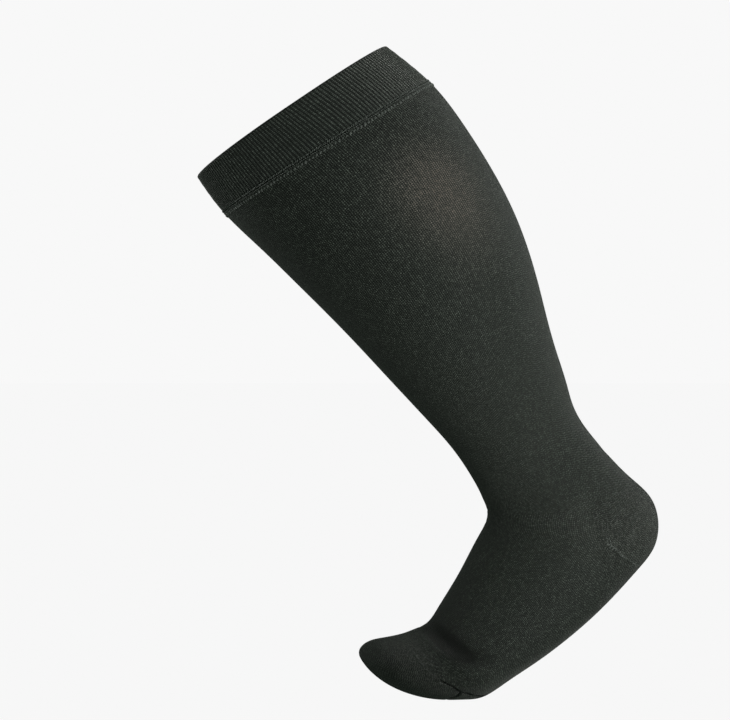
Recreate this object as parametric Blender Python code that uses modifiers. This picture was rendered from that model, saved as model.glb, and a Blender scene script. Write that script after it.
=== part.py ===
"""Knee-high compression stocking for the left leg, as worn: heel raised, toes bent up.

Built in millimetres on planar sections strung along the leg and foot, then scaled to metres.
Row frame: +Z up, toes towards -X, outer side of the leg towards -Y, origin at the centre of the
top opening, where the wearer's leg comes out.
"""

import math
from typing import NamedTuple

import bmesh
import bpy
import numpy as np

# Driving sizes, in millimetres unless the name says otherwise.
METRES_PER_MM = 0.001
TINY = 1e-9
# Walls: the plain knit of leg and foot, and the turned-down double knit of the band.
KNIT_WALL = 1.2
BAND_WALL = 2.2
SEAM_GAP = 0.3
# Ribs of the band, and how far they have turned at the rim, towards the back on the outer side.
RIB_COUNT = 188
RIB_RELIEF = 0.7
RIB_TWIST_DEG = 4.0
RIB_POINTS = 2
# How finely each piece is divided round and along the stocking.
BAND_ROWS = 4
BAND_INNER_COLUMNS = 94
TUBE_COLUMNS = 48
POCKET_COLUMNS = 22
LEG_ROWS = 20
FOOT_ROWS = 18
TOE_ROWS = 11
HEEL_ROWS = 11
# The heel pocket spans the back of the ring, this far to each side of the centre back, and its
# pointed ends are cut off at this share of their last column.
POCKET_HALF_ANGLE_DEG = 75.0
POCKET_END_CUT = 0.65
# The ankle row past its section, and the toe pocket's edge past the toe root: at its sides, and how
# far it dips forward under the toes and back over them. All in sections.
ANKLE_ROW = 0.3
TOE_EDGE_SIDE = 0.3
TOE_EDGE_DIP = 0.4
PLAIN_KNIT_COLOUR = (0.022, 0.023, 0.021)
RIBBED_KNIT_COLOUR = (0.018, 0.019, 0.018)


class Section(NamedTuple):
    """One ring of the stocking, from its front line (shin, instep) to its back line (calf, sole).

    front_x, front_z and back_x, back_z: the ring's two points in the leg's side plane. width: side
    to side. middle_y: where the ring's middle lies sideways. widest: where its widest level lies, as
    a share of the depth from the back. back_power: superellipse power of the back half, 2 for round
    and more for flat. slant: how far the outer side is set back towards the heel. saddle: how far
    both sides lie further down the stocking than the front and back.
    """

    name: str
    front_x: float
    front_z: float
    back_x: float
    back_z: float
    width: float
    middle_y: float
    widest: float
    back_power: float
    slant: float
    saddle: float


SECTIONS = (
    Section("rim", -66.1, -45.8, 66.1, 45.8, 152.0, 0.0, 0.56, 1.85, 0.0, 1.2),
    Section("band_seam", -47.3, -71.0, 96.6, 20.6, 160.0, 0.0, 0.50, 2.0, 0.0, 2.8),
    Section("calf_top", -20.6, -96.9, 118.6, -6.6, 159.0, 0.0, 0.48, 2.0, 0.0, 0.0),
    Section("calf", 2.4, -119.3, 135.4, -32.5, 153.0, 0.0, 0.48, 2.0, 0.0, 0.0),
    Section("calf_low", 36.0, -152.9, 157.1, -73.8, 139.0, 0.0, 0.48, 2.0, 0.0, 0.0),
    Section("shin_mid", 67.5, -186.5, 172.2, -118.6, 118.0, 0.0, 0.48, 2.0, 0.0, 0.0),
    Section("shin_low", 97.6, -218.8, 183.8, -162.8, 95.0, 0.0, 0.48, 2.0, 0.0, 0.0),
    Section("ankle_top", 116.5, -241.1, 192.8, -191.4, 81.0, 0.0, 0.48, 2.0, 0.0, 0.0),
    Section("ankle", 130.5, -263.6, 202.6, -216.6, 73.0, 0.0, 0.50, 2.0, 0.0, 0.0),
    Section("heel_top", 134.0, -271.2, 218.0, -236.2, 72.0, 0.0, 0.53, 2.0, 0.0, 0.0),
    Section("heel_high", 136.3, -276.8, 236.9, -255.8, 73.0, 0.0, 0.56, 2.0, 0.0, 0.0),
    Section("heel_back", 136.8, -281.0, 251.6, -270.5, 74.0, 0.0, 0.57, 2.0, 0.0, 0.0),
    Section("heel_mid", 136.5, -285.2, 256.8, -288.8, 74.0, 0.0, 0.56, 2.0, 0.0, 0.0),
    Section("heel_low", 135.3, -288.8, 253.8, -304.8, 73.0, 0.0, 0.54, 2.05, 0.0, 0.0),
    Section("heel_sole", 133.3, -292.9, 243.2, -319.5, 72.0, 0.0, 0.51, 2.15, 0.0, 0.0),
    Section("instep_top", 130.5, -297.8, 229.9, -334.2, 73.0, 0.0, 0.47, 2.3, 0.0, 0.0),
    Section("instep", 124.9, -308.3, 211.8, -352.4, 76.0, 0.0, 0.43, 2.4, 0.0, 0.0),
    Section("arch", 117.2, -323.0, 191.7, -369.5, 82.0, 0.0, 0.39, 2.5, 0.0, 0.0),
    Section("forefoot", 108.4, -337.8, 170.4, -385.0, 90.0, 0.0, 0.36, 2.6, 0.0, 0.0),
    Section("ball", 101.4, -349.2, 150.6, -398.0, 97.0, 0.0, 0.35, 2.6, 0.0, 0.0),
    Section("toe_bend", 95.4, -356.0, 133.6, -408.0, 99.0, 0.0, 0.36, 2.5, 2.0, 0.0),
    Section("toe_root", 83.8, -362.4, 116.8, -410.6, 97.0, 1.0, 0.38, 2.4, 6.0, 0.0),
    Section("toe_mid", 70.0, -366.8, 95.0, -411.0, 91.0, 4.0, 0.42, 2.3, 10.0, 0.0),
    Section("toe_low", 59.4, -369.2, 76.6, -407.9, 80.0, 8.0, 0.45, 2.2, 10.0, 0.0),
    Section("toe_front", 51.8, -371.7, 62.6, -401.4, 63.0, 12.0, 0.48, 2.1, 7.0, 0.0),
    Section("toe_end", 48.0, -375.6, 53.8, -393.4, 38.0, 16.0, 0.50, 2.0, 3.0, 0.0),
    Section("toe_tip", 47.4, -382.6, 47.4, -382.6, 0.0, 18.0, 0.50, 2.0, 0.0, 0.0),
)


class Fold(NamedTuple):
    """A soft trough across the cloth with a ridge on its toe side.

    section: place along the stocking, in sections. angle, reach: middle and half length round the
    ring, in degrees. trough, ridge: depth of the one and height of the other. width: their half
    width along the stocking, in sections. lean: how far it has moved back towards the leg a quarter
    turn away from the front line.
    """

    section: float
    angle: float
    reach: float
    trough: float
    ridge: float
    width: float
    lean: float


FOLDS = (
    Fold(20.25, 140.0, 60.0, 1.8, 1.0, 0.30, 0.9),
    Fold(20.25, 222.0, 58.0, 1.6, 0.8, 0.32, 0.9),
    Fold(11.2, 180.0, 60.0, 0.7, 0.4, 0.45, 0.0),
)
# From a fold's trough to the crest of its ridge, in the fold's widths.
RIDGE_STEP = 1.7
# Rows stand this many times closer at a fold than on plain cloth, and for this far, in sections.
FOLD_CROWDING = 4.0
CROWDING_REACH = 0.9


def spline(knots, values, at):
    """Natural cubic spline through values at knots, read at the places in at."""
    step = np.diff(knots)
    slope = np.diff(values, axis=0) / step[:, None]
    size = len(knots)
    system = np.eye(size)
    wanted = np.zeros_like(values)
    for i in range(1, size - 1):
        system[i, i - 1 : i + 2] = step[i - 1], 2 * (step[i - 1] + step[i]), step[i]
        wanted[i] = 6 * (slope[i] - slope[i - 1])
    bend = np.linalg.solve(system, wanted)
    i = np.clip(np.searchsorted(knots, at) - 1, 0, size - 2)
    h, a, b = step[i], knots[i + 1] - at, at - knots[i]
    h, a, b = h[:, None], a[:, None], b[:, None]
    return (
        (bend[i] * a**3 + bend[i + 1] * b**3) / (6 * h)
        + (values[i] / h - bend[i] * h / 6) * a
        + (values[i + 1] / h - bend[i + 1] * h / 6) * b
    )


def section_table():
    """The sections' numbers, with the last two rings turned over past the tip so it closes round."""
    table = np.array([s[1:] for s in SECTIONS])
    past = table[[-2, -3]]
    past[:, 0:4] = past[:, [2, 3, 0, 1]]
    past[:, 4] = -past[:, 4]
    past[:, 6] = 1 - past[:, 6]
    past[:, 8] = 0.0
    return np.concatenate([table, past])


def section_knots(table):
    """Where each section lies along the stocking: the mean of the front and back lines, in mm."""
    front_step = np.linalg.norm(np.diff(table[:, 0:2], axis=0), axis=1)
    back_step = np.linalg.norm(np.diff(table[:, 2:4], axis=0), axis=1)
    return np.concatenate([[0], np.cumsum(front_step + back_step) / 2])


TABLE = section_table()
KNOTS = section_knots(TABLE)


def section_index(name):
    """The number of the section of that name."""
    return [s.name for s in SECTIONS].index(name)


def fold_height(place, angle):
    """How far the folds move the cloth out at a place along the stocking and an angle round it."""
    height = np.zeros_like(place)
    for f in FOLDS:
        turned = np.mod(angle, 360)
        round_it = np.clip((turned - f.angle) / f.reach, -1, 1)
        along = (place - f.section + f.lean * ((turned - 180) / 90) ** 2) / f.width
        fade = np.cos(round_it * np.pi / 2) ** 2
        trough = -f.trough * np.exp(-(along**2))
        ridge = f.ridge * np.exp(-((along - RIDGE_STEP) ** 2))
        height += fade * (trough + ridge)
    return height


def smooth_surface(place, angle):
    """Points of the cloth's outer face before its folds. place counts sections, angle is in degrees."""
    place, angle = np.broadcast_arrays(np.asarray(place, float), np.asarray(angle, float))
    knot = np.interp(place.ravel(), np.arange(len(KNOTS)), KNOTS)
    row = spline(KNOTS, TABLE, knot)
    front, back = row[:, 0:2], row[:, 2:4]
    width, middle_y, widest, back_power, slant, saddle = row[:, 4:].T
    across = back - front
    depth = np.linalg.norm(across, axis=1)
    across = across / np.maximum(depth, TINY)[:, None]
    along = np.stack([across[:, 1], -across[:, 0]], axis=1)
    turn = np.radians(angle.ravel())
    cosine, sine = np.cos(turn), np.sin(turn)
    power = np.where(cosine > 0, back_power, 2.0)
    reach = np.where(cosine > 0, widest, 1 - widest) * depth
    to_back = np.sign(cosine) * np.abs(cosine) ** (2 / power) * reach - widest * depth
    side = np.sign(sine) * np.abs(sine) ** (2 / power)
    in_plane = back + across * to_back[:, None] + along * (side**2 * saddle)[:, None]
    x = in_plane[:, 0] + (1 + side) / 2 * slant
    points = np.stack([x, middle_y - side * width / 2, in_plane[:, 1]], axis=1)
    return points.reshape(*place.shape, 3)


def normals(place, angle):
    """Unit normals of the smooth surface, pointing out."""
    small_place, small_angle = 0.02, 0.5
    inside = np.clip(place, small_place, len(SECTIONS) - 1 - small_place)
    down = smooth_surface(inside + small_place, angle) - smooth_surface(inside - small_place, angle)
    around = smooth_surface(inside, angle + small_angle) - smooth_surface(inside, angle - small_angle)
    out = np.cross(around, down)
    return out / np.maximum(np.linalg.norm(out, axis=-1), TINY)[..., None]


def surface(place, angle, lift=0.0):
    """Points of the cloth's outer face with its folds, moved out by lift."""
    place, angle = np.broadcast_arrays(np.asarray(place, float), np.asarray(angle, float))
    height = fold_height(place, angle) + lift
    return smooth_surface(place, angle) + normals(place, angle) * height[..., None]


def even_angles():
    """Angles of the tube's columns where they stand evenly, the pocket's columns first."""
    return (np.arange(TUBE_COLUMNS) - POCKET_COLUMNS / 2) * 360 / TUBE_COLUMNS


def pocket_angles():
    """Angles of the same columns at the heel pocket: crowded to its two ends, then the front."""
    share = np.sin(np.radians(np.linspace(-90, 90, POCKET_COLUMNS + 1)))
    front_columns = TUBE_COLUMNS - POCKET_COLUMNS
    front = np.linspace(POCKET_HALF_ANGLE_DEG, 360 - POCKET_HALF_ANGLE_DEG, front_columns + 1)
    return np.concatenate([share * POCKET_HALF_ANGLE_DEG, front[1:-1]])


def pocket_edge(section_at_end, section_at_back):
    """Where a row that opens round the heel pocket lies, for each of the tube's columns."""
    share = np.clip(np.abs(pocket_angles()) / POCKET_HALF_ANGLE_DEG, 0, 1)
    return section_at_end + (section_at_back - section_at_end) * np.sqrt(1 - share**2)


def parted(edge, angle, gap):
    """The edge moved along the stocking by gap, measured square to the edge on the cloth."""
    small = 0.02
    along = (surface(edge + small, angle) - surface(edge - small, angle)) / (2 * small)
    path = surface(edge, angle)
    tangent = np.roll(path, -1, axis=0) - np.roll(path, 1, axis=0)
    tangent /= np.linalg.norm(tangent, axis=1)[:, None]
    square = along - (along * tangent).sum(axis=1)[:, None] * tangent
    return edge + gap / np.linalg.norm(square, axis=1)


def row_places(first, last, rows):
    """Places from first to last for that many rows, which stand closer together at the folds."""
    fine = np.linspace(first, last, 400)
    crowd = np.ones_like(fine)
    for f in FOLDS:
        crowd += FOLD_CROWDING * np.exp(-(((fine - f.section) / CROWDING_REACH) ** 2))
    total = np.concatenate([[0], np.cumsum((crowd[1:] + crowd[:-1]) / 2)])
    return np.interp(np.linspace(0, total[-1], rows + 1), total, fine)


def grid(first, first_angle, last, last_angle, rows):
    """Points from the first edge to the last, one row of them for each step."""
    start, end = first.mean(), last.mean()
    place_share = ((row_places(start, end, rows) - start) / (end - start))[:, None]
    angle_share = np.linspace(0, 1, rows + 1)[:, None]
    place = first * (1 - place_share) + last * place_share
    return surface(place, first_angle * (1 - angle_share) + last_angle * angle_share)


def quads(rows, columns, closed, start=0, flip=False):
    """Faces of a grid of points that counts along each row first."""
    faces = []
    for r in range(rows - 1):
        for c in range(columns if closed else columns - 1):
            right = (c + 1) % columns
            face = [r * columns + c, (r + 1) * columns + c, (r + 1) * columns + right, r * columns + right]
            faces.append([start + i for i in (reversed(face) if flip else face)])
    return faces


def knit_material(name, colour, roughness):
    """A matt dark knit."""
    material = bpy.data.materials.new(name)
    material.use_nodes = True
    shader = material.node_tree.nodes["Principled BSDF"]
    shader.inputs["Base Color"].default_value = (*colour, 1.0)
    shader.inputs["Roughness"].default_value = roughness
    shader.inputs["Metallic"].default_value = 0.0
    return material


def new_object(name, points, faces, material, collection):
    """A named mesh object in metres, with its faces turned outwards and shaded smooth."""
    mesh = bpy.data.meshes.new(name)
    mesh.from_pydata((np.asarray(points) * METRES_PER_MM).tolist(), [], faces)
    shape = bmesh.new()
    shape.from_mesh(mesh)
    bmesh.ops.remove_doubles(shape, verts=shape.verts, dist=1e-6)
    shape.to_mesh(mesh)
    shape.free()
    mesh.materials.append(material)
    mesh.shade_smooth()
    piece = bpy.data.objects.new(name, mesh)
    collection.objects.link(piece)
    return piece


def cloth(name, points, closed, wall, material, collection):
    """A sheet through a grid of points, given its wall on the inside."""
    rows, columns = points.shape[:2]
    faces = quads(rows, columns, closed, flip=True)
    piece = new_object(name, points.reshape(-1, 3), faces, material, collection)
    shell = piece.modifiers.new("wall", "SOLIDIFY")
    shell.thickness = wall * METRES_PER_MM
    shell.offset = -1
    shell.use_even_offset = True
    return piece


def bridge(outer, outer_count, inner, inner_count, flip):
    """Faces between two rings of different counts, where one count divides the other."""
    each = outer_count // inner_count
    faces = []
    for i in range(inner_count):
        ring = [outer + (i * each + k) % outer_count for k in range(each + 1)]
        face = [inner + i, *ring, inner + (i + 1) % inner_count]
        faces.append(face[::-1] if flip else face)
    return faces


def top_band(material, collection):
    """The ribbed double band: ribs raised outside over a plain inside."""
    outer_count = RIB_COUNT * RIB_POINTS
    outer_angle = np.arange(outer_count) * 360 / outer_count
    inner_angle = np.arange(BAND_INNER_COLUMNS) * 360 / BAND_INNER_COLUMNS
    seam = np.full(outer_count, float(section_index("band_seam")))
    edge = parted(seam, outer_angle, -SEAM_GAP / 2)
    share = np.linspace(0, 1, BAND_ROWS + 1)[:, None]
    turned = RIB_TWIST_DEG * (share - 1)
    rib = np.where(np.arange(outer_count) % RIB_POINTS == 0, 0.0, -RIB_RELIEF)
    outer = surface(share * edge, outer_angle + turned, rib)
    inner = surface(share * edge[:: outer_count // BAND_INNER_COLUMNS], inner_angle + turned, -BAND_WALL)
    points = np.concatenate([outer.reshape(-1, 3), inner.reshape(-1, 3)])
    start = outer.size // 3
    faces = quads(BAND_ROWS + 1, outer_count, True, flip=True)
    faces += quads(BAND_ROWS + 1, BAND_INNER_COLUMNS, True, start)
    last_outer, last_inner = BAND_ROWS * outer_count, start + BAND_ROWS * BAND_INNER_COLUMNS
    faces += bridge(0, outer_count, start, BAND_INNER_COLUMNS, True)
    faces += bridge(last_outer, outer_count, last_inner, BAND_INNER_COLUMNS, False)
    return new_object("top_band", points, faces, material, collection)


def leg(leg_edge, material, collection):
    """The leg tube, from the band's seam to the ankle and over the heel pocket."""
    seam = np.full(TUBE_COLUMNS, float(section_index("band_seam")))
    first = parted(seam, even_angles(), SEAM_GAP / 2)
    last = parted(leg_edge, pocket_angles(), -SEAM_GAP / 2)
    points = grid(first, even_angles(), last, pocket_angles(), LEG_ROWS)
    return cloth("leg", points, True, KNIT_WALL, material, collection)


def foot(foot_edge, toe_edge, material, collection):
    """The foot tube, instep and sole, from the ankle and under the heel pocket to the toe pocket."""
    first = parted(foot_edge, pocket_angles(), SEAM_GAP / 2)
    last = parted(toe_edge, even_angles(), -SEAM_GAP / 2)
    points = grid(first, pocket_angles(), last, even_angles(), FOOT_ROWS)
    return cloth("foot", points, True, KNIT_WALL, material, collection)


def toe_pocket(toe_edge, material, collection):
    """The closed toe, its rows drawn together at the tip of the big toe."""
    first = parted(toe_edge, even_angles(), SEAM_GAP / 2)
    tip = np.full(TUBE_COLUMNS, float(section_index("toe_tip")))
    points = grid(first, even_angles(), tip, even_angles(), TOE_ROWS)
    return cloth("toe_pocket", points, True, KNIT_WALL, material, collection)


def heel_pocket(leg_edge, foot_edge, material, collection):
    """The heel cup between the leg's edge and the foot's, cut short of its two pointed ends."""
    angle = pocket_angles()
    pocket = slice(0, POCKET_COLUMNS + 1)
    columns = angle[pocket].copy()
    columns[[0, -1]] = columns[[0, -1]] * (1 - POCKET_END_CUT) + columns[[1, -2]] * POCKET_END_CUT
    first = np.interp(columns, angle[pocket], parted(leg_edge, angle, SEAM_GAP / 2)[pocket])
    last = np.interp(columns, angle[pocket], parted(foot_edge, angle, -SEAM_GAP / 2)[pocket])
    points = grid(first, columns, last, columns, HEEL_ROWS)
    return cloth("heel_pocket", points, False, KNIT_WALL, material, collection)


def stocking(collection):
    """All the knitted pieces, parted by the seam gap."""
    plain_knit = knit_material("plain_knit", PLAIN_KNIT_COLOUR, 0.75)
    ribbed_knit = knit_material("ribbed_knit", RIBBED_KNIT_COLOUR, 0.8)
    ankle = section_index("heel_back") + ANKLE_ROW
    leg_edge = pocket_edge(ankle, section_index("heel_high") + ANKLE_ROW)
    foot_edge = pocket_edge(ankle, section_index("instep"))
    toe_edge = section_index("toe_root") + TOE_EDGE_SIDE + TOE_EDGE_DIP * np.cos(np.radians(even_angles()))
    top_band(ribbed_knit, collection)
    leg(leg_edge, plain_knit, collection)
    heel_pocket(leg_edge, foot_edge, plain_knit, collection)
    foot(foot_edge, toe_edge, plain_knit, collection)
    toe_pocket(toe_edge, plain_knit, collection)


def main():
    for old in list(bpy.data.objects):
        bpy.data.objects.remove(old)
    collection = bpy.data.collections.new("compression_stocking")
    bpy.context.scene.collection.children.link(collection)
    stocking(collection)


main()
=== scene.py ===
"""Looks of a knee-high compression stocking for the left leg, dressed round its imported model.

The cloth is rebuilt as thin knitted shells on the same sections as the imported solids, in the same frame:
metres, +Z up, toes towards -X, outer side of the leg towards -Y, origin in the top opening.
"""

import logging
import math
from dataclasses import dataclass, field, replace
from enum import Enum
from typing import NamedTuple

import bmesh
import bpy
import numpy as np
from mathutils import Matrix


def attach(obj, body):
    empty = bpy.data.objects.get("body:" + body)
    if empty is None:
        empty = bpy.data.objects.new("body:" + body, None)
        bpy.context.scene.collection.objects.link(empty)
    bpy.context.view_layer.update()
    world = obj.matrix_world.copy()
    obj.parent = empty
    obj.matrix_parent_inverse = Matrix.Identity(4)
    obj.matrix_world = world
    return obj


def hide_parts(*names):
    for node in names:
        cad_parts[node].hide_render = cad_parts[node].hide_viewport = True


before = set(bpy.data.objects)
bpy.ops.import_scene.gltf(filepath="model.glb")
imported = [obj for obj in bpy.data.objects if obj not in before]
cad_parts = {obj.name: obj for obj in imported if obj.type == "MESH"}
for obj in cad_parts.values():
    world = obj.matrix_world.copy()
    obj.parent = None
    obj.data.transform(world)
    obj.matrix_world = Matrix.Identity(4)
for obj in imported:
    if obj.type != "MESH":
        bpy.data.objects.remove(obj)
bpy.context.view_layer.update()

Array = np.ndarray
Line = tuple[tuple[float, float], ...]
Tree = bpy.types.NodeTree
Node = bpy.types.Node
Socket = bpy.types.NodeSocket
Material = bpy.types.Material
Mesh = bpy.types.Mesh
Piece = bpy.types.Object

LOG = logging.getLogger("stocking")
BODY = "root"
METRES_PER_MM = 0.001
TINY = 1e-9
FULL_TURN = 360.0
HALF_TURN = 180.0
QUARTER_TURN = 90.0
# How finely a ring's girth, a spacing and a line's length are measured.
RING_SAMPLES = 721
STEP_SAMPLES = 2000
SAMPLES_PER_CORNER = 60
# Points closer than this are one, in metres.
MERGED = 1e-7
# A cut edge is steeper than this, in degrees.
CUT_EDGE = 60.0
# The knit's own map, and the attributes that its finish reads, two of which carry painted light and painted
# shade.
KNIT_MAP = "knit"
STRETCH_AND_PAINTED_LIGHT = "stretch_and_painted_light"
CORE = "core"
PAINTED_SHADE = "painted_shade"
GRAIN = "grain"


class Slot(Enum):
    """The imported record's material slots."""

    PLAIN_KNIT = "plain_knit"
    RIBBED_KNIT = "ribbed_knit"
    SEAM_THREAD = "seam_thread"


class Section(NamedTuple):
    """One ring of the stocking, from its front line (shin, instep) to its back line (calf, sole), in mm.

    front_x, front_z and back_x, back_z: the ring's two points in the leg's side plane. width: side to
    side. middle_y: where the ring's middle lies sideways. widest: where its widest level lies, as a
    share of the depth from the back. back_power: superellipse power of the back half. slant: how far
    the outer side is set back towards the heel. saddle: how far both sides lie down the stocking.
    """

    name: str
    front_x: float
    front_z: float
    back_x: float
    back_z: float
    width: float
    middle_y: float
    widest: float
    back_power: float = 2.0
    slant: float = 0.0
    saddle: float = 0.0


SECTIONS = (
    Section("rim", -66.1, -45.8, 66.1, 45.8, 152.0, 0.0, 0.56, 1.85, 0.0, 1.2),
    Section("band_seam", -47.3, -71.0, 96.6, 20.6, 160.0, 0.0, 0.50, 2.0, 0.0, 2.8),
    Section("calf_top", -20.6, -96.9, 118.6, -6.6, 159.0, 0.0, 0.48),
    Section("calf", 2.4, -119.3, 135.4, -32.5, 153.0, 0.0, 0.48),
    Section("calf_low", 36.0, -152.9, 157.1, -73.8, 139.0, 0.0, 0.48),
    Section("shin_mid", 67.5, -186.5, 172.2, -118.6, 118.0, 0.0, 0.48),
    Section("shin_low", 97.6, -218.8, 183.8, -162.8, 95.0, 0.0, 0.48),
    Section("ankle_top", 116.5, -241.1, 192.8, -191.4, 81.0, 0.0, 0.48),
    Section("ankle", 130.5, -263.6, 202.6, -216.6, 73.0, 0.0, 0.50),
    Section("heel_top", 134.0, -271.2, 218.0, -236.2, 72.0, 0.0, 0.53),
    Section("heel_high", 136.3, -276.8, 236.9, -255.8, 73.0, 0.0, 0.56),
    Section("heel_back", 136.8, -281.0, 251.6, -270.5, 74.0, 0.0, 0.57),
    Section("heel_mid", 136.5, -285.2, 256.8, -288.8, 74.0, 0.0, 0.56),
    Section("heel_low", 135.3, -288.8, 253.8, -304.8, 73.0, 0.0, 0.54, 2.05),
    Section("heel_sole", 133.3, -292.9, 243.2, -319.5, 72.0, 0.0, 0.51, 2.15),
    Section("instep_top", 130.5, -297.8, 229.9, -334.2, 73.0, 0.0, 0.47, 2.3),
    Section("instep", 124.9, -308.3, 211.8, -352.4, 76.0, 0.0, 0.43, 2.4),
    Section("arch", 117.2, -323.0, 191.7, -369.5, 82.0, 0.0, 0.39, 2.5),
    Section("forefoot", 108.4, -337.8, 170.4, -385.0, 90.0, 0.0, 0.36, 2.6),
    Section("ball", 101.4, -349.2, 150.6, -398.0, 97.0, 0.0, 0.35, 2.6),
    Section("toe_bend", 95.4, -356.0, 133.6, -408.0, 99.0, 0.0, 0.36, 2.5, 2.0, 0.0),
    Section("toe_root", 83.8, -362.4, 116.8, -410.6, 97.0, 1.0, 0.38, 2.4, 6.0, 0.0),
    Section("toe_mid", 70.0, -366.8, 95.0, -411.0, 91.0, 4.0, 0.42, 2.3, 10.0, 0.0),
    Section("toe_low", 59.4, -369.2, 76.6, -407.9, 80.0, 8.0, 0.45, 2.2, 10.0, 0.0),
    Section("toe_front", 51.8, -371.7, 62.6, -401.4, 63.0, 12.0, 0.48, 2.1, 7.0, 0.0),
    Section("toe_end", 48.0, -375.6, 53.8, -393.4, 38.0, 16.0, 0.50, 2.0, 3.0, 0.0),
    Section("toe_tip", 47.4, -382.6, 47.4, -382.6, 0.0, 18.0, 0.50),
)


class Fold(NamedTuple):
    """A soft trough across the cloth with a ridge on its toe side.

    section: place along the stocking, in sections. angle, reach: middle and half length round the
    ring, in degrees. trough, ridge: depth and height, in mm. width: their half width, in sections.
    lean: how far it has moved back towards the leg a quarter turn away from the front line.
    """

    section: float
    angle: float
    reach: float
    trough: float
    ridge: float
    width: float
    lean: float


FOLDS = (
    Fold(20.35, 134.0, 60.0, 3.4, 0.8, 0.48, 1.3),
    Fold(20.35, 228.0, 56.0, 3.1, 0.8, 0.48, 1.2),
    Fold(11.2, 180.0, 60.0, 0.3, 0.0, 0.8, 0.0),
)
# From a fold's trough to the crest of its ridge, in the fold's widths.
RIDGE_STEP = 1.7


class Crease(NamedTuple):
    """A fine line in the cloth: a trough where height is below 0, and a ridge where it is above.

    line: its corners, each a place in sections and an angle in degrees. height and half_width in mm.
    fade: the share of its length over which each end runs out.
    """

    name: str
    line: Line
    height: float
    half_width: float
    fade: float


HEEL_GORE = ((11.6, 73.0), (11.9, 70.5), (12.45, 65.5), (13.1, 62.0), (13.5, 50.0), (13.8, 32.0), (13.9, 8.0))
TOE_GORE = ((22.0, 140.0), (21.95, 127.0), (21.91, 114.5), (21.86, 102.5), (21.74, 95.5), (21.52, 88.8))
TOE_UNDERFOLD = (
    (21.6, 91.0),
    (21.38, 82.0),
    (21.2, 75.8),
    (20.94, 62.8),
    (20.64, 55.5),
    (20.32, 43.5),
    (20.15, 30.0),
    (20.04, 18.0),
)
TOE_OVERHANG = tuple((place - 0.13, angle) for place, angle in TOE_UNDERFOLD[1:-1])
TOE_CLOSING = (
    (20.94, 62.8),
    (21.19, 49.2),
    (21.46, 40.2),
    (21.62, 33.2),
    (21.7, 10.0),
    (21.7, -30.0),
    (21.4, -60.0),
)


def other_side(line: Line, shift: float = 0.0) -> Line:
    """The same line on the inner side of the leg, moved along by shift sections so that it is not a copy."""
    return tuple((place + shift, -angle) for place, angle in line)


CREASES = (
    Crease("heel_gore_outer", HEEL_GORE, 0.30, 1.3, 0.4),
    Crease("heel_gore_inner", other_side(HEEL_GORE), 0.30, 1.3, 0.4),
    Crease("toe_gore_outer", TOE_GORE, 0.40, 0.9, 0.3),
    Crease("toe_gore_inner", other_side(TOE_GORE, -0.1), 0.35, 0.9, 0.3),
    Crease("toe_underfold_outer", TOE_UNDERFOLD, -3.0, 0.95, 0.12),
    Crease("toe_underfold_end", TOE_UNDERFOLD[3:], -2.0, 1.6, 0.12),
    Crease("toe_underfold_inner", other_side(TOE_UNDERFOLD[1:-1], 0.12), -2.0, 0.9, 0.3),
    Crease("toe_overhang", TOE_OVERHANG, 0.7, 1.5, 0.4),
    Crease("toe_closing_outer", TOE_CLOSING[:4], -2.0, 0.9, 0.2),
    Crease("toe_closing", TOE_CLOSING[3:], -0.5, 0.8, 0.15),
    Crease("toe_bend_second", ((20.75, 196.0), (20.55, 172.0), (20.4, 150.0)), -0.5, 1.6, 0.5),
    Crease("ankle_wrinkle_upper", ((10.7, 164.0), (10.5, 182.0), (10.65, 203.0)), -0.35, 2.0, 0.5),
    Crease("ankle_wrinkle_lower", ((12.4, 196.0), (12.7, 178.0), (12.5, 158.0)), -0.30, 2.2, 0.5),
    Crease("tendon_wrinkle", ((8.9, -24.0), (9.05, 4.0), (8.95, 30.0)), -0.30, 2.6, 0.5),
)


class Bulge(NamedTuple):
    """A patch that looks lighter, partly where the leg pushes the knit open and partly as painted light on
    lit parts, or that is darkened as painted shade.

    place, angle: its middle. place_reach, angle_reach: how far it goes, in sections and in degrees.
    stretch_and_painted_light: how far the knit opens and is lightened by painted light in its middle, 0 to 1,
    or how far it is darkened by painted shade, below 0. core: how far the yarn's paler core shows through
    there.
    """

    name: str
    place: float
    angle: float
    place_reach: float
    angle_reach: float
    stretch_and_painted_light: float
    core: float = 0.0


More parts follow.
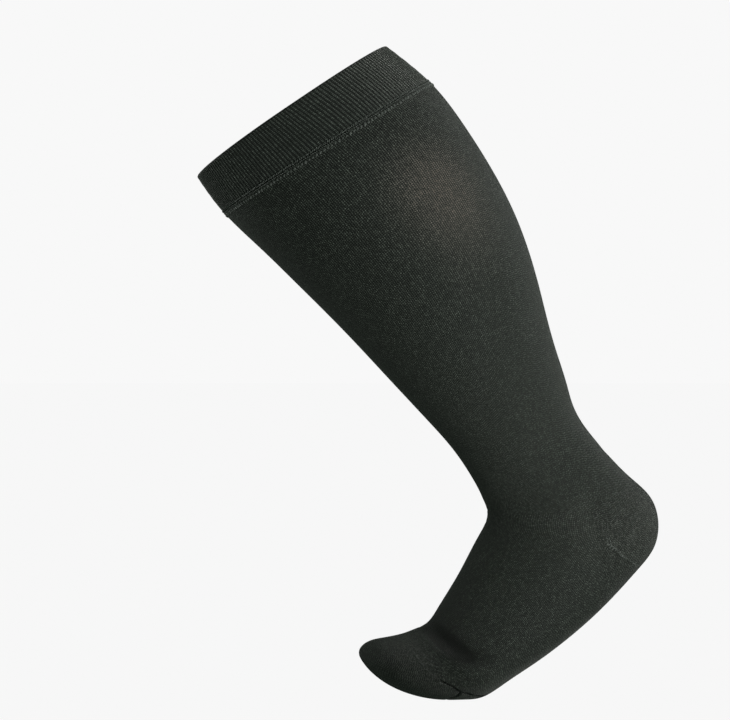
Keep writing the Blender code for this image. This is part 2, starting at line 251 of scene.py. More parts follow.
# Lightening patches are partly the knit pulled open and partly painted light: the calf's glow, the band's
# front end and the tops of the toes. Patches below 0 are painted shade: the calf's front, the instep's front
# and the toe bend.
BULGES = (
    Bulge("calf_outer", 3.02, 62.0, 0.9, 22.0, 1.0, 1.0),
    Bulge("calf_inner", 3.35, -68.0, 1.1, 24.0, 0.9, 0.9),
    Bulge("band_back", 0.4, 32.0, 1.5, 30.0, 0.35),
    Bulge("heel_outer", 12.4, 45.0, 1.8, 45.0, 0.58),
    Bulge("heel_inner", 12.5, -50.0, 1.8, 45.0, 0.45),
    Bulge("ankle_outer", 8.8, 90.0, 4.0, 52.0, 0.18),
    Bulge("ankle_inner", 8.8, -92.0, 4.0, 52.0, 0.18),
    Bulge("shin_outer", 7.2, 130.0, 4.4, 28.0, 0.36),
    Bulge("shin_inner", 7.5, -128.0, 4.4, 30.0, 0.32),
    Bulge("band_front", 0.5, 168.0, 1.2, 22.0, 0.40),
    Bulge("calf_front", 2.4, 172.0, 1.4, 34.0, -0.20),
    Bulge("toe_knuckles", 21.9, 150.0, 0.9, 50.0, 0.85),
    Bulge("toe_ball_outer", 22.5, 86.0, 1.2, 42.0, 1.0),
    Bulge("toe_ball_inner", 22.2, -70.0, 1.0, 35.0, 0.60),
    Bulge("toe_pleat", 20.95, 50.0, 0.25, 9.0, 1.0),
    Bulge("instep_painted_shade", 18.9, 172.0, 1.4, 62.0, -0.62),
    Bulge("toe_bend_outer", 19.95, 130.0, 0.60, 30.0, -1.0),
    Bulge("toe_bend_front", 20.2, 165.0, 0.40, 28.0, -0.85),
    Bulge("toe_bend_inner", 19.9, 226.0, 0.60, 32.0, -1.0),
    Bulge("toe_underfold_end", 20.22, 36.0, 0.16, 12.0, -1.0),
)


class Evening(NamedTuple):
    """A length of the stocking where the knit lies closer, so that its loops show less.

    place, reach: its middle and how far it goes, in sections. amount: how much less they show, 0 to 1.
    """

    name: str
    place: float
    reach: float
    amount: float


EVENED = (
    Evening("shin", 7.0, 3.5, 0.38),
    Evening("instep", 15.0, 4.0, 0.32),
)


def turned_from(middle: float, angle: Array) -> Array:
    """How far angles lie from a middle, the shorter way round."""
    return (angle - middle + HALF_TURN) % FULL_TURN - HALF_TURN


def passed(points: Array) -> Array:
    """How far along a line each of its points lies."""
    return np.concatenate([[0], np.cumsum(np.linalg.norm(np.diff(points, axis=0), axis=1))])


def faded_ends(share: Array, reach: float) -> Array:
    """0 at both ends of a line to 1 past the reach, at shares of its length."""
    return np.clip(np.minimum(share, 1 - share) / reach, 0, 1)


@dataclass
class StockingForm:
    """The outer face of the stocking: a point for each place along it and angle round it.

    A place counts the sections from the rim. An angle is 0 on the back and sole, 90 on the outer side
    and 180 on the shin and instep. Lengths are in mm.
    """

    sections: tuple[Section, ...] = SECTIONS
    folds: tuple[Fold, ...] = FOLDS
    creases: tuple[Crease, ...] = CREASES
    bulges: tuple[Bulge, ...] = BULGES
    evened: tuple[Evening, ...] = EVENED
    front_power: float = 2.0
    # Trough depth in mm at which the painted shade in folds and creases is darkest.
    painted_shade_depth: float = 1.6
    table: Array = field(init=False)
    knots: Array = field(init=False)
    girths: Array = field(init=False)
    arcs: Array = field(init=False)

    def __post_init__(self) -> None:
        """Works out the spline's rows, their knots and each section's girth."""
        rows = np.array([section[1:] for section in self.sections])
        # Past the tip the last rings come again with front and back swapped, which makes the tip round.
        past = rows[[-2, -3]]
        past[:, 0:4] = past[:, [2, 3, 0, 1]]
        width, widest, slant = (Section._fields.index(name) - 1 for name in ("width", "widest", "slant"))
        past[:, width] = -past[:, width]
        past[:, widest] = 1 - past[:, widest]
        past[:, slant] = 0.0
        self.table = np.concatenate([rows, past])
        front_step = np.linalg.norm(np.diff(self.table[:, 0:2], axis=0), axis=1)
        back_step = np.linalg.norm(np.diff(self.table[:, 2:4], axis=0), axis=1)
        self.knots = np.concatenate([[0], np.cumsum(front_step + back_step) / 2])
        ring = np.linspace(0, FULL_TURN, RING_SAMPLES)
        rings = self.smooth(np.arange(len(self.sections))[:, None], ring[None, :])
        arcs = np.cumsum(np.linalg.norm(np.diff(rings, axis=1), axis=2), axis=1)
        self.girths = arcs[:, -1]
        self.arcs = np.pad(arcs / np.maximum(arcs[:, -1:], TINY), ((0, 0), (1, 0)))
        self.arcs[-1] = self.arcs[-2]

    def index(self, name: str) -> int:
        """The number of the section of that name."""
        return [section.name for section in self.sections].index(name)

    def length_at(self, place: Array) -> Array:
        """Distance along the stocking from the rim, as the mean of its front and back lines."""
        return np.interp(place, np.arange(len(self.knots)), self.knots)

    def place_at(self, length: Array) -> Array:
        """The place at that distance from the rim."""
        return np.interp(length, self.knots, np.arange(len(self.knots)))

    def girth_at(self, place: Array) -> Array:
        """The girth of the smooth form at a place."""
        return np.interp(place, np.arange(len(self.girths)), self.girths)

    def round_share(self, place: Array, angle: Array) -> Array:
        """The share of the girth between the back's middle and an angle, so that wales stand evenly.

        Args:
            place, angle: the points.

        Returns:
            The share, 1 more for each full turn.
        """
        turns, turned = np.divmod(angle, FULL_TURN)
        last_row, last_column = (count - 1 for count in self.arcs.shape)
        column = turned / FULL_TURN * last_column
        row = np.clip(np.floor(place).astype(int), 0, last_row - 1)
        before = np.clip(np.floor(column).astype(int), 0, last_column - 1)
        down, across = place - row, column - before
        upper, lower = (
            self.arcs[r, before] * (1 - across) + self.arcs[r, before + 1] * across for r in (row, row + 1)
        )
        return turns + upper * (1 - down) + lower * down

    def spline(self, at: Array) -> Array:
        """The sections' numbers between the sections, on a natural cubic spline.

        Args:
            at: distances from the rim.

        Returns:
            A row of numbers for each distance, in the order of a section's fields.
        """
        step = np.diff(self.knots)
        slope = np.diff(self.table, axis=0) / step[:, None]
        size = len(self.knots)
        system = np.eye(size)
        wanted = np.zeros_like(self.table)
        for i in range(1, size - 1):
            system[i, i - 1 : i + 2] = step[i - 1], 2 * (step[i - 1] + step[i]), step[i]
            wanted[i] = 6 * (slope[i] - slope[i - 1])
        bend = np.linalg.solve(system, wanted)
        i = np.clip(np.searchsorted(self.knots, at) - 1, 0, size - 2)
        h, a, b = step[i][:, None], (self.knots[i + 1] - at)[:, None], (at - self.knots[i])[:, None]
        return (
            (bend[i] * a**3 + bend[i + 1] * b**3) / (6 * h)
            + (self.table[i] / h - bend[i] * h / 6) * a
            + (self.table[i + 1] / h - bend[i + 1] * h / 6) * b
        )

    def smooth(self, place: Array, angle: Array) -> Array:
        """Points of the outer face before its folds.

        Args:
            place, angle: where they lie.

        Returns:
            Their x, y and z.
        """
        place, angle = np.broadcast_arrays(np.asarray(place, float), np.asarray(angle, float))
        row = self.spline(self.length_at(place.ravel()))
        front, back = row[:, 0:2], row[:, 2:4]
        width, middle_y, widest, back_power, slant, saddle = row[:, 4:].T
        across = back - front
        depth = np.linalg.norm(across, axis=1)
        across = across / np.maximum(depth, TINY)[:, None]
        along = np.stack([across[:, 1], -across[:, 0]], axis=1)
        turn = np.radians(angle.ravel())
        cosine, sine = np.cos(turn), np.sin(turn)
        power = np.where(cosine > 0, back_power, self.front_power)
        reach = np.where(cosine > 0, widest, 1 - widest) * depth
        to_back = np.sign(cosine) * np.abs(cosine) ** (2 / power) * reach - widest * depth
        side = np.sign(sine) * np.abs(sine) ** (2 / power)
        in_plane = back + across * to_back[:, None] + along * (side**2 * saddle)[:, None]
        x = in_plane[:, 0] + (1 + side) / 2 * slant
        points = np.stack([x, middle_y - side * width / 2, in_plane[:, 1]], axis=1)
        return points.reshape(*place.shape, 3)

    def normals(self, place: Array, angle: Array) -> Array:
        """Which way the smooth face looks.

        Args:
            place, angle: the points.

        Returns:
            Unit normals, pointing out.
        """
        small_place, small_angle = 0.02, 0.5
        inside = np.clip(place, small_place, len(self.sections) - 1 - small_place)
        down = self.smooth(inside + small_place, angle) - self.smooth(inside - small_place, angle)
        around = self.smooth(inside, angle + small_angle) - self.smooth(inside, angle - small_angle)
        out = np.cross(around, down)
        return out / np.maximum(np.linalg.norm(out, axis=-1), TINY)[..., None]

    def fold_height(self, place: Array, angle: Array) -> Array:
        """How far the large folds move the cloth out.

        Args:
            place, angle: the points.

        Returns:
            The height at each, below 0 in a trough.
        """
        height = np.zeros_like(place)
        turned = np.mod(angle, FULL_TURN)
        for fold in self.folds:
            round_it = np.clip((turned - fold.angle) / fold.reach, -1, 1)
            leant = fold.lean * ((turned - HALF_TURN) / QUARTER_TURN) ** 2
            along = (place - fold.section + leant) / fold.width
            trough = -fold.trough * np.exp(-(along**2))
            ridge = fold.ridge * np.exp(-((along - RIDGE_STEP) ** 2))
            height += np.cos(round_it * np.pi / 2) ** 2 * (trough + ridge)
        return height

    def crease_height(self, place: Array, angle: Array) -> Array:
        """How far the fine lines move the cloth out.

        Args:
            place, angle: the points.

        Returns:
            The height at each, below 0 in a trough.
        """
        height = np.zeros_like(place)
        along = self.length_at(place)
        for crease in self.creases:
            corner = np.array(crease.line)
            mm_per_degree = self.girth_at(corner[:, 0].mean()) / FULL_TURN
            middle = corner[:, 1].mean()
            line = np.column_stack([self.length_at(corner[:, 0]), (corner[:, 1] - middle) * mm_per_degree])
            across = turned_from(middle, angle) * mm_per_degree
            distance, share = distance_to_line(along, across, line)
            shown = crease.height * np.sin(faded_ends(share, crease.fade) * np.pi / 2) ** 2
            height += shown * np.exp(-((distance / crease.half_width) ** 2))
        return height

    def stretch_and_painted_light(self, place: Array, angle: Array) -> tuple[Array, Array]:
        """How far the leg opens the knit, with the patches' painted light and painted shade.

        Args:
            place, angle: the points.

        Returns:
            How far the knit is pulled open and lightened by painted light, or darkened by painted shade
            where it is below 0, and how far the yarn's core shows.
        """
        opened_and_painted_light, core = np.zeros_like(place), np.zeros_like(place)
        for bulge in self.bulges:
            turned = turned_from(bulge.angle, angle)
            off = ((place - bulge.place) / bulge.place_reach) ** 2 + (turned / bulge.angle_reach) ** 2
            opened_and_painted_light += bulge.stretch_and_painted_light * np.exp(-off)
            core += bulge.core * np.exp(-off)
        return np.clip(opened_and_painted_light, -1, 1), np.clip(core, 0, 1)

    def painted_shade(self, place: Array, angle: Array) -> Array:
        """How much painted shade darkens the cloth, in the troughs of its folds and creases and in the
        patches below 0.

        Args:
            place, angle: the points.

        Returns:
            0 to 1 at each.
        """
        height = self.fold_height(place, angle) + self.crease_height(place, angle)
        # Patches below 0 add painted shade.
        painted_shade_share = np.maximum(0, -self.stretch_and_painted_light(place, angle)[0])
        return np.clip(np.maximum(0, -height / self.painted_shade_depth) + painted_shade_share, 0, 1)

    def marks(self, place: Array, angle: Array, grain: float = 1.0) -> dict[str, Array]:
        """What the knit's finish reads at each point.

        Args:
            place, angle: the points.
            grain: how strongly the piece's loops show where the knit doesn't lie closer.

        Returns:
            How far the knit is pulled open together with painted light, how far the yarn's core shows,
            how much painted shade darkens the cloth and how strongly its loops show.
        """
        place, angle = np.broadcast_arrays(place, angle)
        evened = np.zeros_like(place)
        for part in self.evened:
            evened += part.amount * np.exp(-(((place - part.place) / part.reach) ** 2))
        opened_and_painted_light, core = self.stretch_and_painted_light(place, angle)
        return {
            STRETCH_AND_PAINTED_LIGHT: np.maximum(0, opened_and_painted_light),
            CORE: core,
            PAINTED_SHADE: self.painted_shade(place, angle),
            GRAIN: grain * (1 - evened),
        }

    def surface(self, place: Array, angle: Array, lift: Array | float = 0.0) -> Array:
        """Points of the outer face with its folds and fine lines.

        Args:
            place, angle: where they lie.
            lift: how far they are moved out.

        Returns:
            Their x, y and z.
        """
        place, angle = np.broadcast_arrays(np.asarray(place, float), np.asarray(angle, float))
        height = self.fold_height(place, angle) + self.crease_height(place, angle) + lift
        return self.smooth(place, angle) + self.normals(place, angle) * height[..., None]

    def walk(self, line: Array, pitch: float) -> tuple[Array, Array]:
        """Places and angles that stand a pitch apart along a line on the cloth.

        Args:
            line: its corners, each a place and an angle.
            pitch: distance from one to the next.

        Returns:
            The places and the angles.
        """
        corner = np.asarray(line, float)
        fine = np.linspace(0, len(corner) - 1, SAMPLES_PER_CORNER * len(corner))
        place = np.interp(fine, np.arange(len(corner)), corner[:, 0])
        angle = np.interp(fine, np.arange(len(corner)), corner[:, 1])
        length = passed(self.smooth(place, angle))
        count = max(2, round(length[-1] / pitch) + 1)
        wanted = np.linspace(0, length[-1], count)
        return np.interp(wanted, length, place), np.interp(wanted, length, angle)


def distance_to_line(x: Array, y: Array, line: Array) -> tuple[Array, Array]:
    """Distance from points to a line with corners, and how far along the line the nearest point is.

    Args:
        x, y: the points.
        line: the corners, a row for each.

    Returns:
        The distances, and the shares of the line's length.
    """
    length = passed(line)
    nearest, share = np.full(x.shape, np.inf), np.zeros(x.shape)
    for start, end, before in zip(line[:-1], line[1:], length[:-1]):
        run = end - start
        reach = np.linalg.norm(run)
        t = np.clip(((x - start[0]) * run[0] + (y - start[1]) * run[1]) / reach**2, 0, 1)
        distance = np.hypot(x - start[0] - t * run[0], y - start[1] - t * run[1])
        share = np.where(distance < nearest, (before + t * reach) / length[-1], share)
        nearest = np.minimum(distance, nearest)
    return nearest, share


def linear(hex_colour: str) -> tuple[float, float, float, float]:
    """An sRGB hex colour as linear red, green, blue and alpha."""
    parts = [int(hex_colour[i : i + 2], 16) / 255 for i in (1, 3, 5)]
    return (*(v / 12.92 if v <= 0.04045 else ((v + 0.055) / 1.055) ** 2.4 for v in parts), 1.0)


def add_node(tree: Tree, kind: str, settings: dict | None = None, links: dict | None = None) -> Node:
    """Adds a node to a tree.

    Args:
        tree: a material's, world's or Geometry Nodes tree.
        kind: the node's type.
        settings: its own properties.
        links: for each input's name or number, what feeds it: a node, whose first output is taken, a
            socket, or a plain value.

    Returns:
        The node.
    """
    node = tree.nodes.new(kind)
    for name, value in (settings or {}).items():
        setattr(node, name, value)
    for name, value in (links or {}).items():
        if isinstance(value, Node):
            tree.links.new(value.outputs[0], node.inputs[name])
        elif isinstance(value, Socket):
            tree.links.new(value, node.inputs[name])
        else:
            node.inputs[name].default_value = value
    return node


class Step(NamedTuple):
    """One sum in a shader. Each input is a number or the name of something known or worked out before."""

    result: str
    operation: str
    inputs: tuple[str | float, ...]


def work_out(tree: Tree, known: dict[str, Socket], steps: tuple[Step, ...]) -> dict[str, Socket]:
    """Adds a math node for each step.

    Args:
        tree: a material's or Geometry Nodes tree.
        known: the sockets that the steps start from.
        steps: the sums, in order.

    Returns:
        The known sockets and the results, by name.
    """
    found = dict(known)
    for step in steps:
        links = {i: found[value] if isinstance(value, str) else value for i, value in enumerate(step.inputs)}
        found[step.result] = add_node(tree, "ShaderNodeMath", {"operation": step.operation}, links).outputs[0]
    return found


def new_material(name: str, values: dict[str, float | tuple[float, ...]]) -> tuple[Material, Node]:
    """Makes a material.

    Args:
        name: its name.
        values: what is the same all over it, for the shader's own sockets.

    Returns:
        The material and its shader.
    """
    material = bpy.data.materials.new(name)
    material.use_nodes = True
    shader = material.node_tree.nodes["Principled BSDF"]
    for socket, value in values.items():
        shader.inputs[socket].default_value = value
    return material, shader


def give_pattern(
    shader: Node, colour: Socket, height: Socket, relief_mm: float, strength: float = 1.0
) -> None:
    """Gives a shader what varies over its surface.

    Args:
        shader: the material's shader.
        colour, height: the pattern.
        relief_mm: what a height of 1 is.
        strength: how strongly the relief shows.
    """
    tree = shader.id_data
    links = {"Strength": strength, "Distance": relief_mm * METRES_PER_MM, "Height": height}
    bump = add_node(tree, "ShaderNodeBump", links=links)
    tree.links.new(bump.outputs["Normal"], shader.inputs["Normal"])
    tree.links.new(colour, shader.inputs["Base Color"])


@dataclass(frozen=True)
class KnitFinish:
    """Weft knit of covered elastane and nylon, dyed charcoal.

    The covered yarn is matt, so it gives a soft, dull sheen and almost no gloss. Its loops stand in
    columns, the wales, and in rows, the courses. The knit map counts wales across and courses along.
    Single loops catch the light, which gives the cloth its fine flecks.

    stretched_and_lit: its colour where it's pulled open, which is also painted light on lit patches. core:
    the yarn's paler core, where the form says that it shows. fleck: how much brighter the brightest loops
    are.
    rarity: how few those are. loop_slope: how far a loop's legs climb from the wale's middle to its edge, in
    courses. pulled: how far one wale can lie from the next, in courses. row_depth: how dark it is between
    courses, 0 to 1. crest: how narrow the wale's raised middle is. painted_shade_darkness: how far painted
    shade darkens folds, creases, patches below 0 and the band's rim towards the colour between the loops.
    patch: how much the dye varies, patch_mm apart. fuzz: how much the yarn's loose filaments lighten
    and darken small spots, fuzz_mm apart.
    """

    name: str
    yarn: str
    between_loops_and_shade: str
    stretched_and_lit: str
    core: str
    roughness: float
    specular: float
    sheen: float
    fleck: float
    rarity: float
    loop_relief_mm: float
    loop_slope: float
    pulled: float
    row_depth: float
    crest: float
    painted_shade_darkness: float
    patch_mm: float
    fuzz: float
    fuzz_mm: float
    patch: float = 0.4
    sheen_roughness: float = 0.45
    sheen_tint: str = "#e4e4df"

    def build(self) -> Material:
        """Makes the material.

        Returns:
            The material, with its nodes.
        """
        values = {
            "Roughness": self.roughness,
            "Specular IOR Level": self.specular,
            "Sheen Weight": self.sheen,
            "Sheen Roughness": self.sheen_roughness,
            "Sheen Tint": linear(self.sheen_tint),
        }
        material, shader = new_material(self.name, values)
        give_pattern(shader, *self.pattern(material.node_tree), self.loop_relief_mm)
        return material

    def even_shade(self) -> float:
        """The mean shade of the loops, which the cloth takes on where they don't show."""
        turn = np.linspace(-np.pi / 2, np.pi / 2, RING_SAMPLES)
        return float(np.mean(np.abs(np.cos(turn)) ** self.crest)) * (1 - self.row_depth / 2)

    def loops(self, tree: Tree) -> dict[str, Socket]:
        """Draws the loops.

        Args:
            tree: the material's nodes.

        Returns:
            The sockets of their height, "loops", and of each one's random number, "chance".
        """
        place = add_node(tree, "ShaderNodeUVMap", {"uv_map": KNIT_MAP})
        apart = add_node(tree, "ShaderNodeSeparateXYZ", links={0: place})
        known = {"across": apart.outputs["X"], "along": apart.outputs["Y"]}
        steps = Step("wale_number", "FLOOR", ("across",)), Step("in_wale", "FRACT", ("across",))
        known = work_out(tree, known, steps)
        links = {"W": known["wale_number"]}
        pull = add_node(tree, "ShaderNodeTexWhiteNoise", {"noise_dimensions": "1D"}, links)
        found = work_out(
            tree,
            {**known, "pull": pull.outputs[0]},
            (
                Step("off_middle", "SUBTRACT", ("in_wale", 0.5)),
                Step("to_side", "ABSOLUTE", ("off_middle",)),
                # The laid-in elastane pulls each wale a little up or down.
                Step("laid", "MULTIPLY_ADD", ("pull", self.pulled, "along")),
                # The legs climb on both sides of the wale's middle, which makes the V of a knit stitch.
                Step("leant", "MULTIPLY_ADD", ("to_side", -2 * self.loop_slope, "laid")),
                Step("course_number", "FLOOR", ("leant",)),
                Step("side_turn", "MULTIPLY", ("off_middle", math.pi)),
                Step("bent", "COSINE", ("side_turn",)),
                Step("rounded", "POWER", ("bent", self.crest)),
                Step("row_turn", "MULTIPLY", ("leant", 2 * math.pi)),
                Step("row", "COSINE", ("row_turn",)),
                Step("row_share", "MULTIPLY_ADD", ("row", -self.row_depth / 2, 1 - self.row_depth / 2)),
                Step("loops", "MULTIPLY", ("rounded", "row_share")),
            ),
        )
        links = {0: found["wale_number"], 1: found["course_number"]}
        number = add_node(tree, "ShaderNodeCombineXYZ", links=links)
        chance = add_node(tree, "ShaderNodeTexWhiteNoise", {"noise_dimensions": "2D"}, {0: number})
        return {"loops": found["loops"], "chance": chance.outputs[0]}

    def pattern(self, tree: Tree) -> tuple[Socket, Socket]:
        """Colours the loops, by how the leg stretches the knit, with painted light on lit patches and painted
        shade in folds and at the band's rim.

        Args:
            tree: the material's nodes.

        Returns:
            The sockets of the colour and of the loops' height.
        """
        known = self.loops(tree)
        spot = add_node(tree, "ShaderNodeTexCoord").outputs["Object"]
        for name, apart_mm, detail in (("patches", self.patch_mm, 1.0), ("filaments", self.fuzz_mm, 0.0)):
            links = {"Vector": spot, "Scale": 1 / (apart_mm * METRES_PER_MM), "Detail": detail}
            known[name] = add_node(tree, "ShaderNodeTexNoise", links=links).outputs[0]
        for name in (STRETCH_AND_PAINTED_LIGHT, CORE, PAINTED_SHADE, GRAIN):
            known[name] = add_node(tree, "ShaderNodeAttribute", {"attribute_name": name}).outputs["Fac"]
        even = self.even_shade()
        found = work_out(
            tree,
            known,
            (
                Step("rare", "POWER", ("chance", self.rarity)),
                Step("flecked", "MULTIPLY_ADD", ("rare", self.fleck, 1 - self.fleck / (self.rarity + 1))),
                Step("patched", "MULTIPLY_ADD", ("patches", self.patch, 1 - self.patch / 2)),
                Step("fuzzed", "MULTIPLY_ADD", ("filaments", self.fuzz, 1 - self.fuzz / 2)),
                Step("lit", "MULTIPLY", ("loops", "flecked")),
                Step("hazed", "MULTIPLY", ("lit", "fuzzed")),
                Step("drawn", "MULTIPLY", ("hazed", "patched")),
                # The grain spreads the loops' shade about its mean, so that the cloth keeps its tone.
                Step("off_even", "SUBTRACT", ("drawn", even)),
                Step("spread", "MULTIPLY_ADD", ("off_even", GRAIN, even)),
                Step("shade", "MAXIMUM", ("spread", 0.0)),
                Step("raised", "MULTIPLY", ("loops", GRAIN)),
                # The paler colour where the knit is pulled open also serves as painted light on lit patches.
                Step("opened_and_painted_light", "MULTIPLY", (STRETCH_AND_PAINTED_LIGHT, "shade")),
                Step("bared", "MULTIPLY", (CORE, "shade")),
                # Painted shade: folds, creases, patches below 0 and the band's turned rim darken towards the
                # dark colour between the loops.
                Step("painted_shade_share", "MULTIPLY", (PAINTED_SHADE, self.painted_shade_darkness)),
            ),
        )
        colour = linear(self.between_loops_and_shade)
        for share, other in (
            ("shade", self.yarn),
            ("opened_and_painted_light", self.stretched_and_lit),
            ("bared", self.core),
            ("painted_shade_share", self.between_loops_and_shade),
        ):
            settings = {"data_type": "RGBA", "clamp_factor": share != "shade"}
            links = {0: found[share], 6: colour, 7: linear(other)}
            colour = add_node(tree, "ShaderNodeMix", settings, links).outputs[2]
        return colour, found["raised"]


@dataclass(frozen=True)
class ThreadFinish:
    """Textured polyester overlock thread, dyed charcoal. Its crimped filaments give a soft, broken sheen."""

    name: str
    thread: str
    shaded: str
    roughness: float
    specular: float
    filament_mm: float
    filament_relief_mm: float = 0.2
    relief_strength: float = 0.6
    sheen: float = 0.25

    def build(self) -> Material:
        """Makes the material.

        Returns:
            The material, with its nodes.
        """
        values = {
            "Roughness": self.roughness,
            "Specular IOR Level": self.specular,
            "Sheen Weight": self.sheen,
        }
        material, shader = new_material(self.name, values)
        tree = material.node_tree
        spot = add_node(tree, "ShaderNodeTexCoord").outputs["Object"]
        links = {"Vector": spot, "Scale": 1 / (self.filament_mm * METRES_PER_MM), "Detail": 2.0}
        filaments = add_node(tree, "ShaderNodeTexNoise", links=links).outputs[0]
        links = {0: filaments, 6: linear(self.shaded), 7: linear(self.thread)}
        colour = add_node(tree, "ShaderNodeMix", {"data_type": "RGBA"}, links).outputs[2]
        give_pattern(shader, colour, filaments, self.filament_relief_mm, self.relief_strength)
        return material


PLAIN_KNIT = KnitFinish(
    name="plain_knit_covered_elastane",
    yarn="#4f564e",
    between_loops_and_shade="#080b08",
    stretched_and_lit="#6e716b",
    core="#746a61",
    roughness=0.68,
    specular=0.22,
    sheen=0.12,
    fleck=1.15,
    rarity=2.2,
    loop_relief_mm=0.30,
    loop_slope=0.35,
    pulled=1.0,
    row_depth=0.85,
    crest=1.7,
    painted_shade_darkness=0.85,
    patch_mm=22.0,
    fuzz=1.6,
    fuzz_mm=1.1,
)
RIBBED_KNIT = KnitFinish(
    name="ribbed_knit_double_welt",
    yarn="#5c645c",
    between_loops_and_shade="#0a0d0a",
    stretched_and_lit="#80827c",
    core="#80827c",
    roughness=0.72,
    specular=0.20,
    sheen=0.30,
    fleck=0.8,
    rarity=1.6,
    loop_relief_mm=0.30,
    loop_slope=0.10,
    pulled=0.2,
    row_depth=0.9,
    crest=2.4,
    painted_shade_darkness=0.8,
    patch_mm=18.0,
    fuzz=1.8,
    fuzz_mm=0.9,
)
SEAM_THREAD = ThreadFinish(
    name="seam_thread_textured_polyester",
    thread="#737973",
    shaded="#2c302b",
    roughness=0.6,
    specular=0.3,
    filament_mm=0.5,
)


def new_object(name: str, data: bpy.types.ID) -> Piece:
    """Makes an object and links it to the scene.

    Args:
        name: its name.
        data: its mesh, light or camera.

    Returns:
        The object.
    """
    made = bpy.data.objects.new(name, data)
    bpy.context.scene.collection.objects.link(made)
    return made


def mark_points(mesh: Mesh, name: str, values: Array) -> None:
    """Writes a number or a vector for each point of a mesh.

    Args:
        mesh: the mesh.
        name: the attribute's name.
        values: one number, or one row of three, for each point.
    """
    kind, key = ("FLOAT_VECTOR", "vector") if values.ndim == 2 else ("FLOAT", "value")
    data = mesh.attributes.new(name, kind, "POINT").data
    data.foreach_set(key, values.astype(np.float32).ravel())


def knit_sheet(
    name: str, points: Array, closed: bool, knit_map: Array, marks: dict[str, Array], material: Material
) -> Piece:
    """A sheet of faces through a grid of points, its outside outwards.

    Args:
        name: the piece's name.
        points: rows down the stocking, columns round it, in mm.
        closed: whether the columns close to a ring.
        knit_map: wale and course for each row and column, with one column more where it is closed.
        marks: for each attribute's name, a number for each point.
        material: its finish.

    Returns:
        The piece, a mesh without thickness.
    """
    rows, columns = points.shape[:2]
    r, c = np.meshgrid(np.arange(rows - 1), np.arange(columns if closed else columns - 1), indexing="ij")
    upper, lower, right = r * columns, (r + 1) * columns, (c + 1) % columns
    corners = np.stack([upper + right, lower + right, lower + c, upper + c], axis=-1)
    mesh = bpy.data.meshes.new(name)
    mesh.from_pydata((points.reshape(-1, 3) * METRES_PER_MM).tolist(), [], corners.reshape(-1, 4).tolist())
    places = (r, c + 1), (r + 1, c + 1), (r + 1, c), (r, c)
    mapped = np.stack([knit_map[place] for place in places], axis=2)
    mesh.uv_layers.new(name=KNIT_MAP).data.foreach_set("uv", mapped.astype(np.float32).ravel())
    for key, values in marks.items():
        mark_points(mesh, key, np.broadcast_to(values, (rows, columns)).ravel())
    mesh.materials.append(material)
    shape = bmesh.new()
    shape.from_mesh(mesh)
    bmesh.ops.remove_doubles(shape, verts=shape.verts, dist=MERGED)
    shape.to_mesh(mesh)
    shape.free()
    mesh.shade_smooth()
    return new_object(name, mesh)


def bake(piece: Piece) -> Piece:
    """Turns a piece with live modifiers into a plain mesh.

    Args:
        piece: the piece.

    Returns:
        The same piece.
    """
    graph = bpy.context.evaluated_depsgraph_get()
    live = piece.evaluated_get(graph)
    mesh = bpy.data.meshes.new_from_object(live, preserve_all_data_layers=True, depsgraph=graph)
    piece.modifiers.clear()
    old, piece.data = piece.data, mesh
    bpy.data.meshes.remove(old)
    mesh.name = piece.name
    return piece


def give_wall(piece: Piece, wall_mm: float) -> Piece:
    """Gives a sheet its thickness on the inside, with crisp cut edges.

    Args:
        piece: the sheet.
        wall_mm: the thickness.

    Returns:
        The same piece.
    """
    shell = piece.modifiers.new("wall", "SOLIDIFY")
    shell.thickness = wall_mm * METRES_PER_MM
    shell.offset = -1
    bake(piece)
    piece.data.set_sharp_from_angle(angle=math.radians(CUT_EDGE))
    return piece


def join(name: str, parts: list[Piece]) -> Piece:
    """Joins plain pieces of one material into a single piece.

    Args:
        name: the joined piece's name.
        parts: the pieces, which are used up.

    Returns:
        The joined piece.
    """
    shape = bmesh.new()
    for part in parts:
        shape.from_mesh(part.data)
    for face in shape.faces:
        face.material_index = 0
        face.smooth = True
    mesh = bpy.data.meshes.new(name)
    shape.to_mesh(mesh)
    shape.free()
    mesh.materials.append(parts[0].data.materials[-1])
    for part in parts:
        old = part.data
        bpy.data.objects.remove(part)
        bpy.data.meshes.remove(old)
    return new_object(name, mesh)


def even_steps(first: float, last: float, step: Array, at: Array) -> Array:
    """Values from first to last whose spacing follows the wished step.

    Args:
        first, last: the range.
        step: the wished step at each value in at.
        at: values that span the range.

    Returns:
        The values, first and last included.
    """
    fine = np.linspace(first, last, STEP_SAMPLES)
    density = 1 / np.interp(fine, at, step)
    total = np.concatenate([[0], np.cumsum((density[1:] + density[:-1]) / 2 * (fine[1] - fine[0]))])
    return np.interp(np.linspace(0, total[-1], max(2, round(total[-1])) + 1), total, fine)


